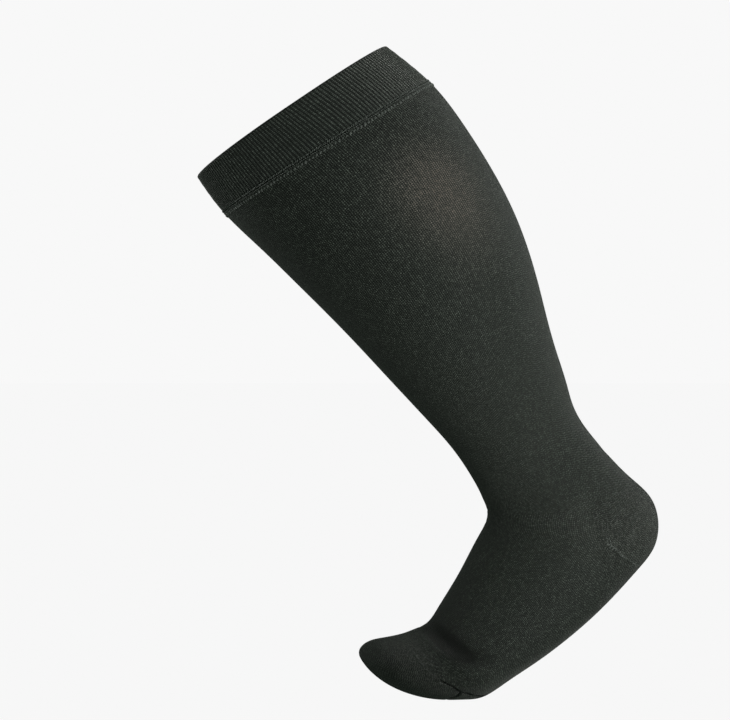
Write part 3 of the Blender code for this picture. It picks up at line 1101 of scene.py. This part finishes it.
@dataclass
class GeometryTree:
    """A Geometry Nodes tree with named inputs, built once and put on a piece with its sizes."""

    name: str
    tree: Tree = field(init=False)
    inputs: dict[str, str] = field(init=False, default_factory=dict)
    start: Node = field(init=False)

    def __post_init__(self) -> None:
        """Makes the tree with its geometry sockets."""
        self.tree = bpy.data.node_groups.new(self.name, "GeometryNodeTree")
        for end in ("INPUT", "OUTPUT"):
            self.tree.interface.new_socket("Geometry", in_out=end, socket_type="NodeSocketGeometry")
        self.start = self.tree.nodes.new("NodeGroupInput")

    def add_inputs(self, **kinds: str) -> dict[str, Socket]:
        """Adds named inputs.

        Args:
            kinds: each input's name, with _ for a space, and its kind.

        Returns:
            The sockets that feed from them, by the same names.
        """
        names = {key: key.replace("_", " ").capitalize() for key in kinds}
        for key, name in names.items():
            kind = f"NodeSocket{kinds[key]}"
            made = self.tree.interface.new_socket(name, in_out="INPUT", socket_type=kind)
            self.inputs[key] = made.identifier
        return {key: self.start.outputs[name] for key, name in names.items()}

    def end(self, geometry: Node, material: Socket) -> None:
        """Ends the tree: real geometry, shaded smooth, with its material.

        Args:
            geometry: the node that makes it.
            material: the input's socket.
        """
        real = add_node(self.tree, "GeometryNodeRealizeInstances", links={"Geometry": geometry})
        soft = add_node(self.tree, "GeometryNodeSetShadeSmooth", links={"Geometry": real})
        links = {"Geometry": soft, "Material": material}
        dressed = add_node(self.tree, "GeometryNodeSetMaterial", links=links)
        add_node(self.tree, "NodeGroupOutput", links={"Geometry": dressed})

    def put_on(self, piece: Piece, **values: object) -> Piece:
        """Puts the tree on a piece and bakes it.

        Args:
            piece: the piece.
            values: a value for each input.

        Returns:
            The piece as a plain mesh.
        """
        modifier = piece.modifiers.new(self.name, "NODES")
        modifier.node_group = self.tree
        for name, value in values.items():
            modifier[self.inputs[name]] = value
        return bake(piece)


def rib_tree() -> GeometryTree:
    """Raises ribs on a tube.

    Returns:
        The tree. A point's around attribute counts 0 to 1 round the tube, its courses attribute counts
        rows, and its ribbed attribute fades the relief.
    """
    made = GeometryTree("rib_relief")
    tree = made.tree
    known = made.add_inputs(rib_count="Int", rib_relief="Float", course_relief="Float", material="Material")
    material = known.pop("material")
    for name in ("around", "ribbed", "courses"):
        read = add_node(tree, "GeometryNodeInputNamedAttribute", {"data_type": "FLOAT"}, {"Name": name})
        known[name] = read.outputs[0]
    found = work_out(
        tree,
        known,
        (
            # The sine's cubed size has a narrow rib for each half turn and a wide furrow between two.
            Step("ribs", "MULTIPLY", ("around", "rib_count")),
            Step("rib_turn", "MULTIPLY", ("ribs", math.pi)),
            Step("rib_wave", "SINE", ("rib_turn",)),
            Step("size", "ABSOLUTE", ("rib_wave",)),
            Step("crest", "POWER", ("size", 3.0)),
            Step("furrow", "SUBTRACT", ("crest", 1.0)),
            Step("rib_height", "MULTIPLY", ("furrow", "rib_relief")),
            Step("course_turn", "MULTIPLY", ("courses", 2 * math.pi)),
            Step("course_wave", "SINE", ("course_turn",)),
            Step("height", "MULTIPLY_ADD", ("course_wave", "course_relief", "rib_height")),
            Step("faded", "MULTIPLY", ("height", "ribbed")),
        ),
    )
    out = add_node(tree, "GeometryNodeInputNormal")
    links = {0: out, "Scale": found["faded"]}
    offset = add_node(tree, "ShaderNodeVectorMath", {"operation": "SCALE"}, links)
    links = {"Geometry": made.start.outputs["Geometry"], "Offset": offset}
    made.end(add_node(tree, "GeometryNodeSetPosition", links=links), material)
    return made


def stitch_tree() -> GeometryTree:
    """Lays a thread loop on each point.

    Returns:
        The tree. A loop lies across its point's along attribute and flat on its out attribute, and its
        fullness attribute scales it.
    """
    made = GeometryTree("stitch_row")
    tree = made.tree
    known = made.add_inputs(
        length="Float",
        width="Float",
        height="Float",
        lean="Float",
        unevenness="Float",
        seed="Int",
        material="Material",
    )
    material = known.pop("material")
    for name, kind in (("out", "FLOAT_VECTOR"), ("along", "FLOAT_VECTOR"), ("fullness", "FLOAT")):
        read = add_node(tree, "GeometryNodeInputNamedAttribute", {"data_type": kind}, {"Name": name})
        known[name] = read.outputs[0]
    bead = add_node(tree, "GeometryNodeMeshUVSphere", links={"Segments": 8, "Rings": 5, "Radius": 0.5})
    links = {0: known["length"], 1: known["width"], 2: known["height"]}
    size = add_node(tree, "ShaderNodeCombineXYZ", links=links)
    loop = add_node(tree, "GeometryNodeTransform", links={"Geometry": bead, "Scale": size})
    flat = add_node(tree, "FunctionNodeAlignRotationToVector", {"axis": "Z"}, {"Vector": known["out"]})
    links = {"Rotation": flat, "Vector": known["along"]}
    facing = add_node(tree, "FunctionNodeAlignRotationToVector", {"axis": "X", "pivot_axis": "Z"}, links)
    less = work_out(tree, known, (Step("less", "MULTIPLY", ("unevenness", -1.0)),))["less"]
    links = {2: less, 3: known["unevenness"], "Seed": known["seed"]}
    chance = add_node(tree, "FunctionNodeRandomValue", {"data_type": "FLOAT"}, links)
    steps = (
        Step("turn", "ADD", ("lean", "chance")),
        Step("grown", "MULTIPLY_ADD", ("chance", "fullness", "fullness")),
    )
    found = work_out(tree, known | {"chance": chance.outputs[1]}, steps)
    links = {"Axis": (0.0, 0.0, 1.0), "Angle": found["turn"]}
    turning = add_node(tree, "FunctionNodeAxisAngleToRotation", links=links)
    links = {"Rotation": facing, "Rotate By": turning}
    turned = add_node(tree, "FunctionNodeRotateRotation", {"rotation_space": "LOCAL"}, links)
    links = {
        "Points": made.start.outputs["Geometry"],
        "Instance": loop,
        "Rotation": turned,
        "Scale": found["grown"],
    }
    made.end(add_node(tree, "GeometryNodeInstanceOnPoints", links=links), material)
    return made


@dataclass(frozen=True)
class StitchRow:
    """A row of thread loops along a line on the cloth. Sizes in mm, lean in degrees from the line.

    lift: how far the loops' middles stand out of the cloth. ends: the share of the row over which it
    thins out to each end, 0 on a ring.
    """

    pitch: float
    length: float
    width: float
    height: float
    lean: float
    lift: float
    ends: float = 0.0
    unevenness: float = 0.12

    def build(
        self, name: str, form: StockingForm, line: Array, tree: GeometryTree, material: Material, seed: int
    ) -> Piece:
        """Lays the row.

        Args:
            name: the piece's name.
            form: the cloth that it lies on.
            line: its corners, each a place and an angle.
            tree: the stitch tree.
            material: the thread's finish.
            seed: of its unevenness.

        Returns:
            The row as a plain mesh.
        """
        place, angle = form.walk(line, self.pitch)
        ring = math.isclose(abs(angle[-1] - angle[0]), FULL_TURN)
        if ring:
            place, angle = place[:-1], angle[:-1]
        points = form.surface(place, angle, self.lift)
        along = np.roll(points, -1, axis=0) - np.roll(points, 1, axis=0)
        if not ring:
            along[0], along[-1] = points[1] - points[0], points[-1] - points[-2]
        share = (np.arange(len(points)) + 0.5) / len(points)
        mesh = bpy.data.meshes.new(name)
        mesh.from_pydata((points * METRES_PER_MM).tolist(), [], [])
        mark_points(mesh, "along", along / np.linalg.norm(along, axis=1)[:, None])
        mark_points(mesh, "out", form.normals(place, angle))
        mark_points(mesh, "fullness", faded_ends(share, max(self.ends, TINY)))
        return tree.put_on(
            new_object(name, mesh),
            length=self.length * METRES_PER_MM,
            width=self.width * METRES_PER_MM,
            height=self.height * METRES_PER_MM,
            lean=math.radians(self.lean),
            unevenness=self.unevenness,
            seed=seed,
            material=material,
        )


@dataclass(frozen=True)
class CoverSeam:
    """The flat seam that joins the band to the leg, a groove between rows of overlock loops. Sizes in mm.

    raised: how far the cloth stands out over it, from above the groove to below it. rows: how far each
    row of loops lies below the groove, and the row. corners: on a row's line round the leg.
    """

    raised: float = 0.25
    above: float = 1.6
    below: float = 4.4
    groove: float = 1.0
    groove_half_width: float = 0.5
    rows: tuple[tuple[float, StitchRow], ...] = (
        (-0.95, StitchRow(pitch=1.5, length=1.7, width=0.6, height=0.7, lean=50.0, lift=0.05)),
        (0.85, StitchRow(pitch=1.5, length=1.4, width=0.55, height=0.6, lean=-50.0, lift=0.05)),
        (3.1, StitchRow(pitch=3.0, length=2.3, width=1.7, height=1.1, lean=48.0, lift=0.0, unevenness=0.2)),
    )
    corners: int = 25
    seed: int = 11

    def relief(self, form: StockingForm, place: Array) -> Array:
        """How far the seam moves the cloth out.

        Args:
            form: the stocking's form.
            place: the points' places.

        Returns:
            The height at each place.
        """
        below = form.length_at(place) - form.length_at(form.index("band_seam"))
        middle, reach = (self.below - self.above) / 2, (self.below + self.above) / 2
        plateau = self.raised * np.exp(-(((below - middle) / reach) ** 6))
        return plateau - self.groove * np.exp(-((below / self.groove_half_width) ** 2))

    def build(self, form: StockingForm, tree: GeometryTree, material: Material) -> Piece:
        """Lays the rows.

        Args:
            form: the cloth that they lie on.
            tree: the stitch tree.
            material: the thread's finish.

        Returns:
            The rows as one piece.
        """
        seam = form.length_at(form.index("band_seam"))
        rows = []
        for number, (below, row) in enumerate(self.rows):
            place = float(form.place_at(seam + below))
            lifted = replace(row, lift=row.lift + float(self.relief(form, np.array(place))))
            line = np.array([(place, angle) for angle in np.linspace(0, FULL_TURN, self.corners)])
            name = f"cover_seam_row_{number}"
            rows.append(lifted.build(name, form, line, tree, material, self.seed + number))
        return join("band_cover_seam", rows)


@dataclass(frozen=True)
class TopBand:
    """The turned double band: ribs outside, a rounded rim and a plain inside. Sizes in mm.

    fine_rows: how far above the seam its rows start to stand closer, and stand closest. flattened_at_seam,
    flattened_at_rim: over what width the ribs fade there. flattened_by_stretch: how far they fade where
    the leg pushes the knit open and where the patches lay painted light. evened_at_sides: how much less
    the loops and ribs show there. rim_painted_shade_width: over what width painted shade darkens the turned
    edge.
    """

    rib_count: int = 188
    points_per_rib: int = 6
    rib_relief: float = 0.5
    course_relief: float = 0.08
    twist_deg: float = 4.0
    wall: float = 2.2
    row_step: float = 1.0
    seam_step: float = 0.35
    fine_rows: tuple[float, float] = (9.0, 6.0)
    course: float = 1.15
    rim_arc_points: int = 5
    inner_rows: int = 9
    flattened_at_seam: float = 4.0
    seam_fade_power: float = 0.7
    flattened_by_stretch: float = 0.7
    flattened_at_rim: float = 3.0
    rim_painted_shade_width: float = 2.2
    evened_at_sides: float = 0.25
    flat: tuple[float, float] = (0.405, 0.035)

    def profile(self, seam: float) -> tuple[Array, Array, Array]:
        """The rows, up the outside from the seam, over the rim and down the inside.

        Args:
            seam: how far the seam lies from the rim.

        Returns:
            How far each row lies from the rim, its lift, and how far it is on the outside, 0 to 1.
        """
        radius = self.wall / 2
        steps = np.repeat([self.row_step, self.seam_step], 2)
        at = np.array([0, seam - self.fine_rows[0], seam - self.fine_rows[1], seam])
        outer = even_steps(radius, seam, steps, at)[::-1]
        arc = np.linspace(0, np.pi, self.rim_arc_points + 2)[1:-1]
        inner = np.linspace(radius, seam, self.inner_rows)
        length = np.concatenate([outer, radius - radius * np.sin(arc), inner])
        sunk = np.full_like(inner, -self.wall)
        lift = np.concatenate([np.zeros_like(outer), radius * (np.cos(arc) - 1), sunk])
        outside = np.concatenate([np.ones_like(outer), np.cos(arc / 2), np.zeros_like(inner)])
        return length, lift, outside

    def build(self, form: StockingForm, seam: CoverSeam, tree: GeometryTree, material: Material) -> Piece:
        """Makes the band.

        Args:
            form: the stocking's form.
            seam: the seam at its lower edge, whose relief it takes on.
            tree: the rib tree.
            material: its finish.

        Returns:
            A closed shell.
        """
        seam_place = form.index("band_seam")
        seam_length = float(form.length_at(seam_place))
        length, lift, outside = (numbers[:, None] for numbers in self.profile(seam_length))
        place = form.place_at(length)
        columns = self.rib_count * self.points_per_rib
        around = np.arange(columns + 1)[None, :] / columns
        angle = (around * FULL_TURN + self.twist_deg * (place / seam_place - 1))[:, :-1]
        lift = lift + np.where(outside > 0, seam.relief(form, place), 0.0)
        points = form.surface(place, angle, lift)
        knit_map = np.broadcast_arrays(around * self.rib_count, length / self.course)
        marks = form.marks(place, angle)
        marks[GRAIN] = 1 - self.evened_at_sides * np.sin(np.radians(angle)) ** 4
        from_seam = np.clip((seam_length - length) / self.flattened_at_seam, 0, 1)
        from_rim = np.clip(length / self.flattened_at_rim, 0, 1)
        ribbed = outside * from_seam**self.seam_fade_power * from_rim
        marks |= {
            # Painted shade along the turned rim, darkest at its edge.
            PAINTED_SHADE: np.clip(1 - length / self.rim_painted_shade_width, 0, 1),
            "around": around[:, :-1],
            "ribbed": ribbed * (1 - self.flattened_by_stretch * marks[STRETCH_AND_PAINTED_LIGHT]) * marks[GRAIN],
            "courses": length / self.course,
        }
        # The rows run up the outside and down the inside, so the sheet is turned to face outwards.
        turned = {key: np.broadcast_to(values, angle.shape)[::-1] for key, values in marks.items()}
        knit_map = np.stack(knit_map, axis=-1)[::-1]
        band = knit_sheet("top_band_knit", points[::-1], True, knit_map, turned, material)
        self.close_bottom(band.data, len(length), columns)
        return tree.put_on(
            band,
            rib_count=self.rib_count,
            rib_relief=self.rib_relief * METRES_PER_MM,
            course_relief=self.course_relief * METRES_PER_MM,
            material=material,
        )

    def close_bottom(self, mesh: Mesh, rows: int, columns: int) -> None:
        """Joins the band's outer and inner lower edges.

        Args:
            mesh: the band's.
            rows, columns: how many it has.
        """
        shape = bmesh.new()
        shape.from_mesh(mesh)
        shape.verts.ensure_lookup_table()
        last = (rows - 1) * columns
        for c in range(columns):
            right = (c + 1) % columns
            shape.faces.new([shape.verts[i] for i in (c, right, last + right, last + c)])
        shape.to_mesh(mesh)
        shape.free()


@dataclass(frozen=True)
class HeelPocket:
    """The heel cup, knitted to and fro between two edges that meet at its pointed ends. Sizes in mm.

    ankle_row: how far its edges lie below their sections. evened: how far its columns are not crowded to
    its ends. wales: loops round the whole girth. course: a loop's length. See KnitTube on why they're
    so coarse.
    """

    half_angle_deg: float = 75.0
    ankle_row: float = 0.3
    wall: float = 1.1
    flat: tuple[float, float] = (0.125, 0.110)
    flat_area: float = 0.0085
    columns_across: int = 132
    rows: int = 118
    evened: float = 0.12
    wales: int = 330
    course: float = 1.5
    grain: float = 1.4

    def edges(self, form: StockingForm, angle: Array) -> tuple[Array, Array]:
        """Where the leg's and the foot's edges lie.

        Args:
            form: the stocking's form.
            angle: the angles round it.

        Returns:
            The places of both edges at each angle.
        """
        share = np.clip(np.abs(turned_from(0.0, angle)) / self.half_angle_deg, 0, 1)
        bulge = np.sqrt(1 - share**2)
        ankle = form.index("heel_back") + self.ankle_row
        leg = ankle + (form.index("heel_high") + self.ankle_row - ankle) * bulge
        foot = ankle + (form.index("instep") - ankle) * bulge
        return leg, foot

    def columns(self) -> Array:
        """Angles across the cup, crowded to its pointed ends.

        Returns:
            The angles, from one end to the other.
        """
        even = np.linspace(-1, 1, self.columns_across + 1)
        crowded = np.sin(even * np.pi / 2)
        return (crowded * (1 - self.evened) + even * self.evened) * self.half_angle_deg

    def ring(self, count: int) -> Array:
        """Angles of a ring of columns, the first of which meet the cup's own.

        Args:
            count: how many columns.

        Returns:
            Their angles, from the cup's one end round.
        """
        rest = count - self.columns_across
        step = (FULL_TURN - 2 * self.half_angle_deg) / rest
        return np.concatenate([self.columns(), self.half_angle_deg + np.arange(1, rest) * step])

    def even_ring(self, count: int) -> Array:
        """Angles of as many columns that stand evenly, the cup's in the back's middle."""
        return (np.arange(count) - self.columns_across / 2) * FULL_TURN / count

    def build(self, form: StockingForm, material: Material) -> Piece:
        """Makes the cup.

        Args:
            form: the stocking's form.
            material: its finish.

        Returns:
            The cup with its wall.
        """
        angle = self.columns()[None, :]
        leg, foot = self.edges(form, angle)
        share = np.linspace(0, 1, self.rows)[:, None]
        place = leg * (1 - share) + foot * share
        points = form.surface(place, angle)
        down = np.linalg.norm(np.diff(points, axis=0), axis=2)
        course = np.concatenate([np.zeros((1, points.shape[1])), np.cumsum(down, axis=0)]) / self.course
        centred = course - course[-1:] / 2
        knit_map = np.stack([form.round_share(place, angle) * self.wales, centred], axis=-1)
        marks = form.marks(place, angle, self.grain)
        return give_wall(knit_sheet("heel_pocket_knit", points, False, knit_map, marks, material), self.wall)


@dataclass(frozen=True)
class KnitTube:
    """A seamless length of plain knit between two edges of the stocking. Sizes in mm.

    wales: loops round it. course: a loop's length. A real one has about 400 needles and courses of 1 mm or
    less, too fine to show, so they're drawn coarser here, and coarser still where the stocking is narrow.
    row_step, fine_step: how far its rows stand apart, and where they stand closer. blend: over how many
    of the samples on each side the one passes into the other.
    """

    name: str
    wales: int
    columns: int
    row_step: float
    fine_step: float
    flat: tuple[float, float]
    flat_area: float
    wall: float = 1.1
    course: float = 1.4
    grain: float = 1.0
    samples: int = 600
    blend: int = 12

    def build(
        self,
        form: StockingForm,
        edges: tuple[Array, Array],
        angles: tuple[Array, Array],
        fine: tuple[float, float],
        material: Material,
        seam: CoverSeam | None = None,
    ) -> Piece:
        """Makes the tube.

        Args:
            form: the stocking's form.
            edges: places of its first and last rows, for each column.
            angles: the columns' angles on its first and last rows.
            fine: the places between which the rows stand closer.
            material: its finish.
            seam: the seam whose relief it takes on, if any.

        Returns:
            The tube with its wall.
        """
        start, end = float(edges[0].mean()), float(edges[1].mean())
        at = np.linspace(form.length_at(start), form.length_at(end), self.samples)
        place_at = form.place_at(at)
        step = np.where((place_at >= fine[0]) & (place_at <= fine[1]), self.fine_step, self.row_step)
        window = 2 * self.blend + 1
        step = np.convolve(np.pad(step, self.blend, mode="edge"), np.ones(window) / window, mode="valid")
        lengths = even_steps(float(at[0]), float(at[-1]), step, at)
        share = ((form.place_at(lengths) - start) / (end - start))[:, None]
        place = edges[0] * (1 - share) + edges[1] * share
        angle = angles[0] * (1 - share) + angles[1] * share
        points = form.surface(place, angle, seam.relief(form, place) if seam else 0.0)
        around = form.round_share(place, angle)
        around = np.concatenate([around, around[:, :1] + 1], axis=1) * self.wales
        down = form.length_at(place) / self.course
        knit_map = np.stack([around, np.concatenate([down, down[:, :1]], axis=1)], axis=-1)
        tube = knit_sheet(self.name, points, True, knit_map, form.marks(place, angle, self.grain), material)
        return give_wall(tube, self.wall)


@dataclass
class Stocking:
    """The whole stocking: band, leg, heel, foot and toe, and the thread of its seams."""

    form: StockingForm = field(default_factory=StockingForm)
    band: TopBand = TopBand()
    seam: CoverSeam = CoverSeam()
    heel: HeelPocket = HeelPocket()
    leg: KnitTube = KnitTube("leg_knit", 300, 256, 2.2, 0.5, (0.42, 0.30), 0.094)
    foot: KnitTube = KnitTube("foot_knit", 250, 320, 2.0, 0.7, (0.24, 0.14), 0.027)
    toe: KnitTube = KnitTube(
        "toe_pocket_knit", 230, 360, 1.2, 0.5, (0.21, 0.075), 0.0105, course=1.3, grain=1.3
    )
    leg_fine: tuple[float, float] = (1.0, 1.25)
    foot_fine: tuple[float, float] = (19.3, 22.0)
    toe_fine: tuple[float, float] = (20.0, 22.2)
    heel_rows_apart: float = 1.6
    heel_stitch: StitchRow = StitchRow(2.3, 2.4, 0.85, 0.9, 35.0, 0.08, ends=0.4, unevenness=0.5)
    heel_seed: int = 31
    toe_edge_side: float = 0.3
    toe_edge_dip: float = 0.4

    def toe_edge(self, angles: Array) -> Array:
        """Where the foot ends and the toe pocket starts, at each angle."""
        side = self.form.index("toe_root") + self.toe_edge_side
        return side + self.toe_edge_dip * np.cos(np.radians(angles))

    def build(self) -> None:
        """Builds every piece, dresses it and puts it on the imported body."""
        plain, ribbed, thread = PLAIN_KNIT.build(), RIBBED_KNIT.build(), SEAM_THREAD.build()
        ribs, stitches = rib_tree(), stitch_tree()
        seam, tip = self.form.index("band_seam"), self.form.index("toe_tip")

        cover_seam = self.seam.build(self.form, stitches, thread)
        self.place(cover_seam, Slot.SEAM_THREAD)

        band = self.band.build(self.form, self.seam, ribs, ribbed)
        self.place(band, Slot.RIBBED_KNIT, "top_band")

        angles = self.heel.even_ring(self.leg.columns), self.heel.ring(self.leg.columns)
        edges = np.full(self.leg.columns, float(seam)), self.heel.edges(self.form, angles[1])[0]
        leg = self.leg.build(self.form, edges, angles, self.leg_fine, plain, self.seam)
        self.place(leg, Slot.PLAIN_KNIT, "leg")

        gore = self.heel_gore(stitches, thread)
        heel = self.heel.build(self.form, plain)
        self.place(heel, Slot.PLAIN_KNIT, "heel_pocket")

        angles = self.heel.ring(self.foot.columns), self.heel.even_ring(self.foot.columns)
        edges = self.heel.edges(self.form, angles[0])[1], self.toe_edge(angles[1])
        foot = self.foot.build(self.form, edges, angles, self.foot_fine, plain)
        self.place(foot, Slot.PLAIN_KNIT, "foot")

        angles = (self.heel.even_ring(self.toe.columns),) * 2
        edges = self.toe_edge(angles[0]), np.full(self.toe.columns, float(tip))
        toe = self.toe.build(self.form, edges, angles, self.toe_fine, plain)
        self.place(toe, Slot.PLAIN_KNIT, "toe_pocket")

    def heel_gore(self, tree: GeometryTree, thread: Material) -> Piece:
        """The turned loops along the heel's slanting knit line, in a V on both sides of the leg.

        Args:
            tree: the stitch tree.
            thread: its finish.

        Returns:
            The rows as one piece.
        """
        rows = []
        degrees_apart = self.heel_rows_apart / float(self.form.girth_at(HEEL_GORE[2][0])) * FULL_TURN
        for line in (HEEL_GORE, other_side(HEEL_GORE)):
            for side in (-0.5, 0.5):
                row = replace(self.heel_stitch, lean=2 * side * self.heel_stitch.lean)
                moved = [(place, angle + side * degrees_apart) for place, angle in line]
                name, seed = f"heel_gore_row_{len(rows)}", self.heel_seed + len(rows)
                rows.append(row.build(name, self.form, moved, tree, thread, seed))
        gore = join("heel_gore_loops", rows)
        self.place(gore, Slot.SEAM_THREAD)
        return gore

    def place(self, piece: Piece, slot: Slot, *nodes: str) -> None:
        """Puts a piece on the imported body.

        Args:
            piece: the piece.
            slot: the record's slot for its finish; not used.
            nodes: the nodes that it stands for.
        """
        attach(piece, BODY)
        if nodes:
            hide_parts(*nodes)
        LOG.info("%s: %d faces", piece.name, len(piece.data.polygons))


@dataclass
class Softbox:
    """A square studio light that faces the stocking. Place in metres, power in watts."""

    name: str
    place: tuple[float, float, float]
    size: float
    power: float
    colour: str = "#ffffff"


@dataclass
class Studio:
    """A pale floor and background, soft lights and the camera. Lengths in metres."""

    target: tuple[float, float, float] = (0.05145, 0.0, -0.17395)
    camera_distance: float = 2.2
    frame_width: float = 0.511
    sensor_mm: float = 36.0
    floor_level: float = -0.4112
    floor_radius: float = 30.0
    floor_colour: str = "#080808"
    floor_roughness: float = 0.9
    floor_glow: float = 0.99
    view_reach: float = 100.0
    pale: str = "#f8f8f8"
    fill_colour: str = "#dcf5e2"
    fill: float = 0.125
    softboxes: tuple[Softbox, ...] = (
        Softbox("side", (2.7, -0.9, 0.3), 1.0, 14.0),
        Softbox("near_side", (0.7, -0.9, -0.35), 0.4, 9.2),
        Softbox("rim_right", (1.9, 1.0, 0.6), 1.2, 10.4),
        Softbox("rim_left", (-0.85, 0.35, 1.6), 0.6, 7.2),
        Softbox("front_card", (-0.30, 0.16, -0.05), 0.2, 0.30),
        Softbox("toe_card", (-0.27, -0.30, -0.385), 0.1, 0.08),
    )

    def build(self) -> None:
        """Sets up the whole studio."""
        bpy.context.scene.view_settings.view_transform = "Standard"
        self.build_world()
        self.build_floor()
        for softbox in self.softboxes:
            self.build_light(softbox)
        self.build_camera()

    def build_world(self) -> None:
        """A plain pale background that lights the stocking dimly from all sides."""
        world = bpy.data.worlds.new("studio")
        bpy.context.scene.world = world
        world.use_nodes = True
        tree = world.node_tree
        tree.nodes.clear()
        rays = add_node(tree, "ShaderNodeLightPath")
        seen = add_node(tree, "ShaderNodeBackground", links={"Color": linear(self.pale), "Strength": 1.0})
        links = {"Color": linear(self.fill_colour), "Strength": self.fill}
        lit = add_node(tree, "ShaderNodeBackground", links=links)
        links = {0: rays.outputs["Is Camera Ray"], 1: lit, 2: seen}
        mixed = add_node(tree, "ShaderNodeMixShader", links=links)
        add_node(tree, "ShaderNodeOutputWorld", links={"Surface": mixed})

    def build_floor(self) -> None:
        """A matt pale floor under the toes."""
        mesh = bpy.data.meshes.new("studio_floor")
        reach = self.floor_radius
        corners = [(-reach, -reach), (reach, -reach), (reach, reach), (-reach, reach)]
        mesh.from_pydata([(x, y, self.floor_level) for x, y in corners], [], [(0, 1, 2, 3)])
        values = {
            "Base Color": linear(self.floor_colour),
            "Roughness": self.floor_roughness,
            "Specular IOR Level": 0.0,
            "Emission Color": linear(self.pale),
            "Emission Strength": self.floor_glow,
        }
        mesh.materials.append(new_material("pale_floor_paint", values)[0])
        floor = new_object("studio_floor", mesh)
        # The floor shows but throws no light of its own, as the room's fill already comes from below too.
        floor.visible_diffuse = False
        floor.visible_glossy = False

    def build_light(self, softbox: Softbox) -> None:
        """A square light that faces the stocking's middle.

        Args:
            softbox: its size, place and power.
        """
        light = bpy.data.lights.new(softbox.name, "AREA")
        light.shape = "SQUARE"
        light.size = softbox.size
        light.energy = softbox.power
        light.color = linear(softbox.colour)[:3]
        lamp = new_object(softbox.name, light)
        lamp.location = softbox.place
        x, y, z = (a - b for a, b in zip(softbox.place, self.target))
        tilt = math.acos(z / math.hypot(x, y, z))
        lamp.rotation_euler = (tilt, 0.0, math.atan2(y, x) + math.pi / 2)

    def build_camera(self) -> None:
        """A level camera on the outer side of the leg."""
        camera = bpy.data.cameras.new("camera")
        camera.sensor_width = self.sensor_mm
        camera.lens = self.sensor_mm * self.camera_distance / self.frame_width
        camera.clip_end = self.view_reach
        holder = new_object("camera", camera)
        holder.location = (self.target[0], self.target[1] - self.camera_distance, self.target[2])
        holder.rotation_euler = (math.pi / 2, 0.0, 0.0)
        bpy.context.scene.camera = holder


def main() -> None:
    """Builds the studio and the stocking."""
    logging.basicConfig(level=logging.INFO, format="%(name)s: %(message)s")
    Studio().build()
    Stocking().build()


if __name__ == "__main__":
    main()
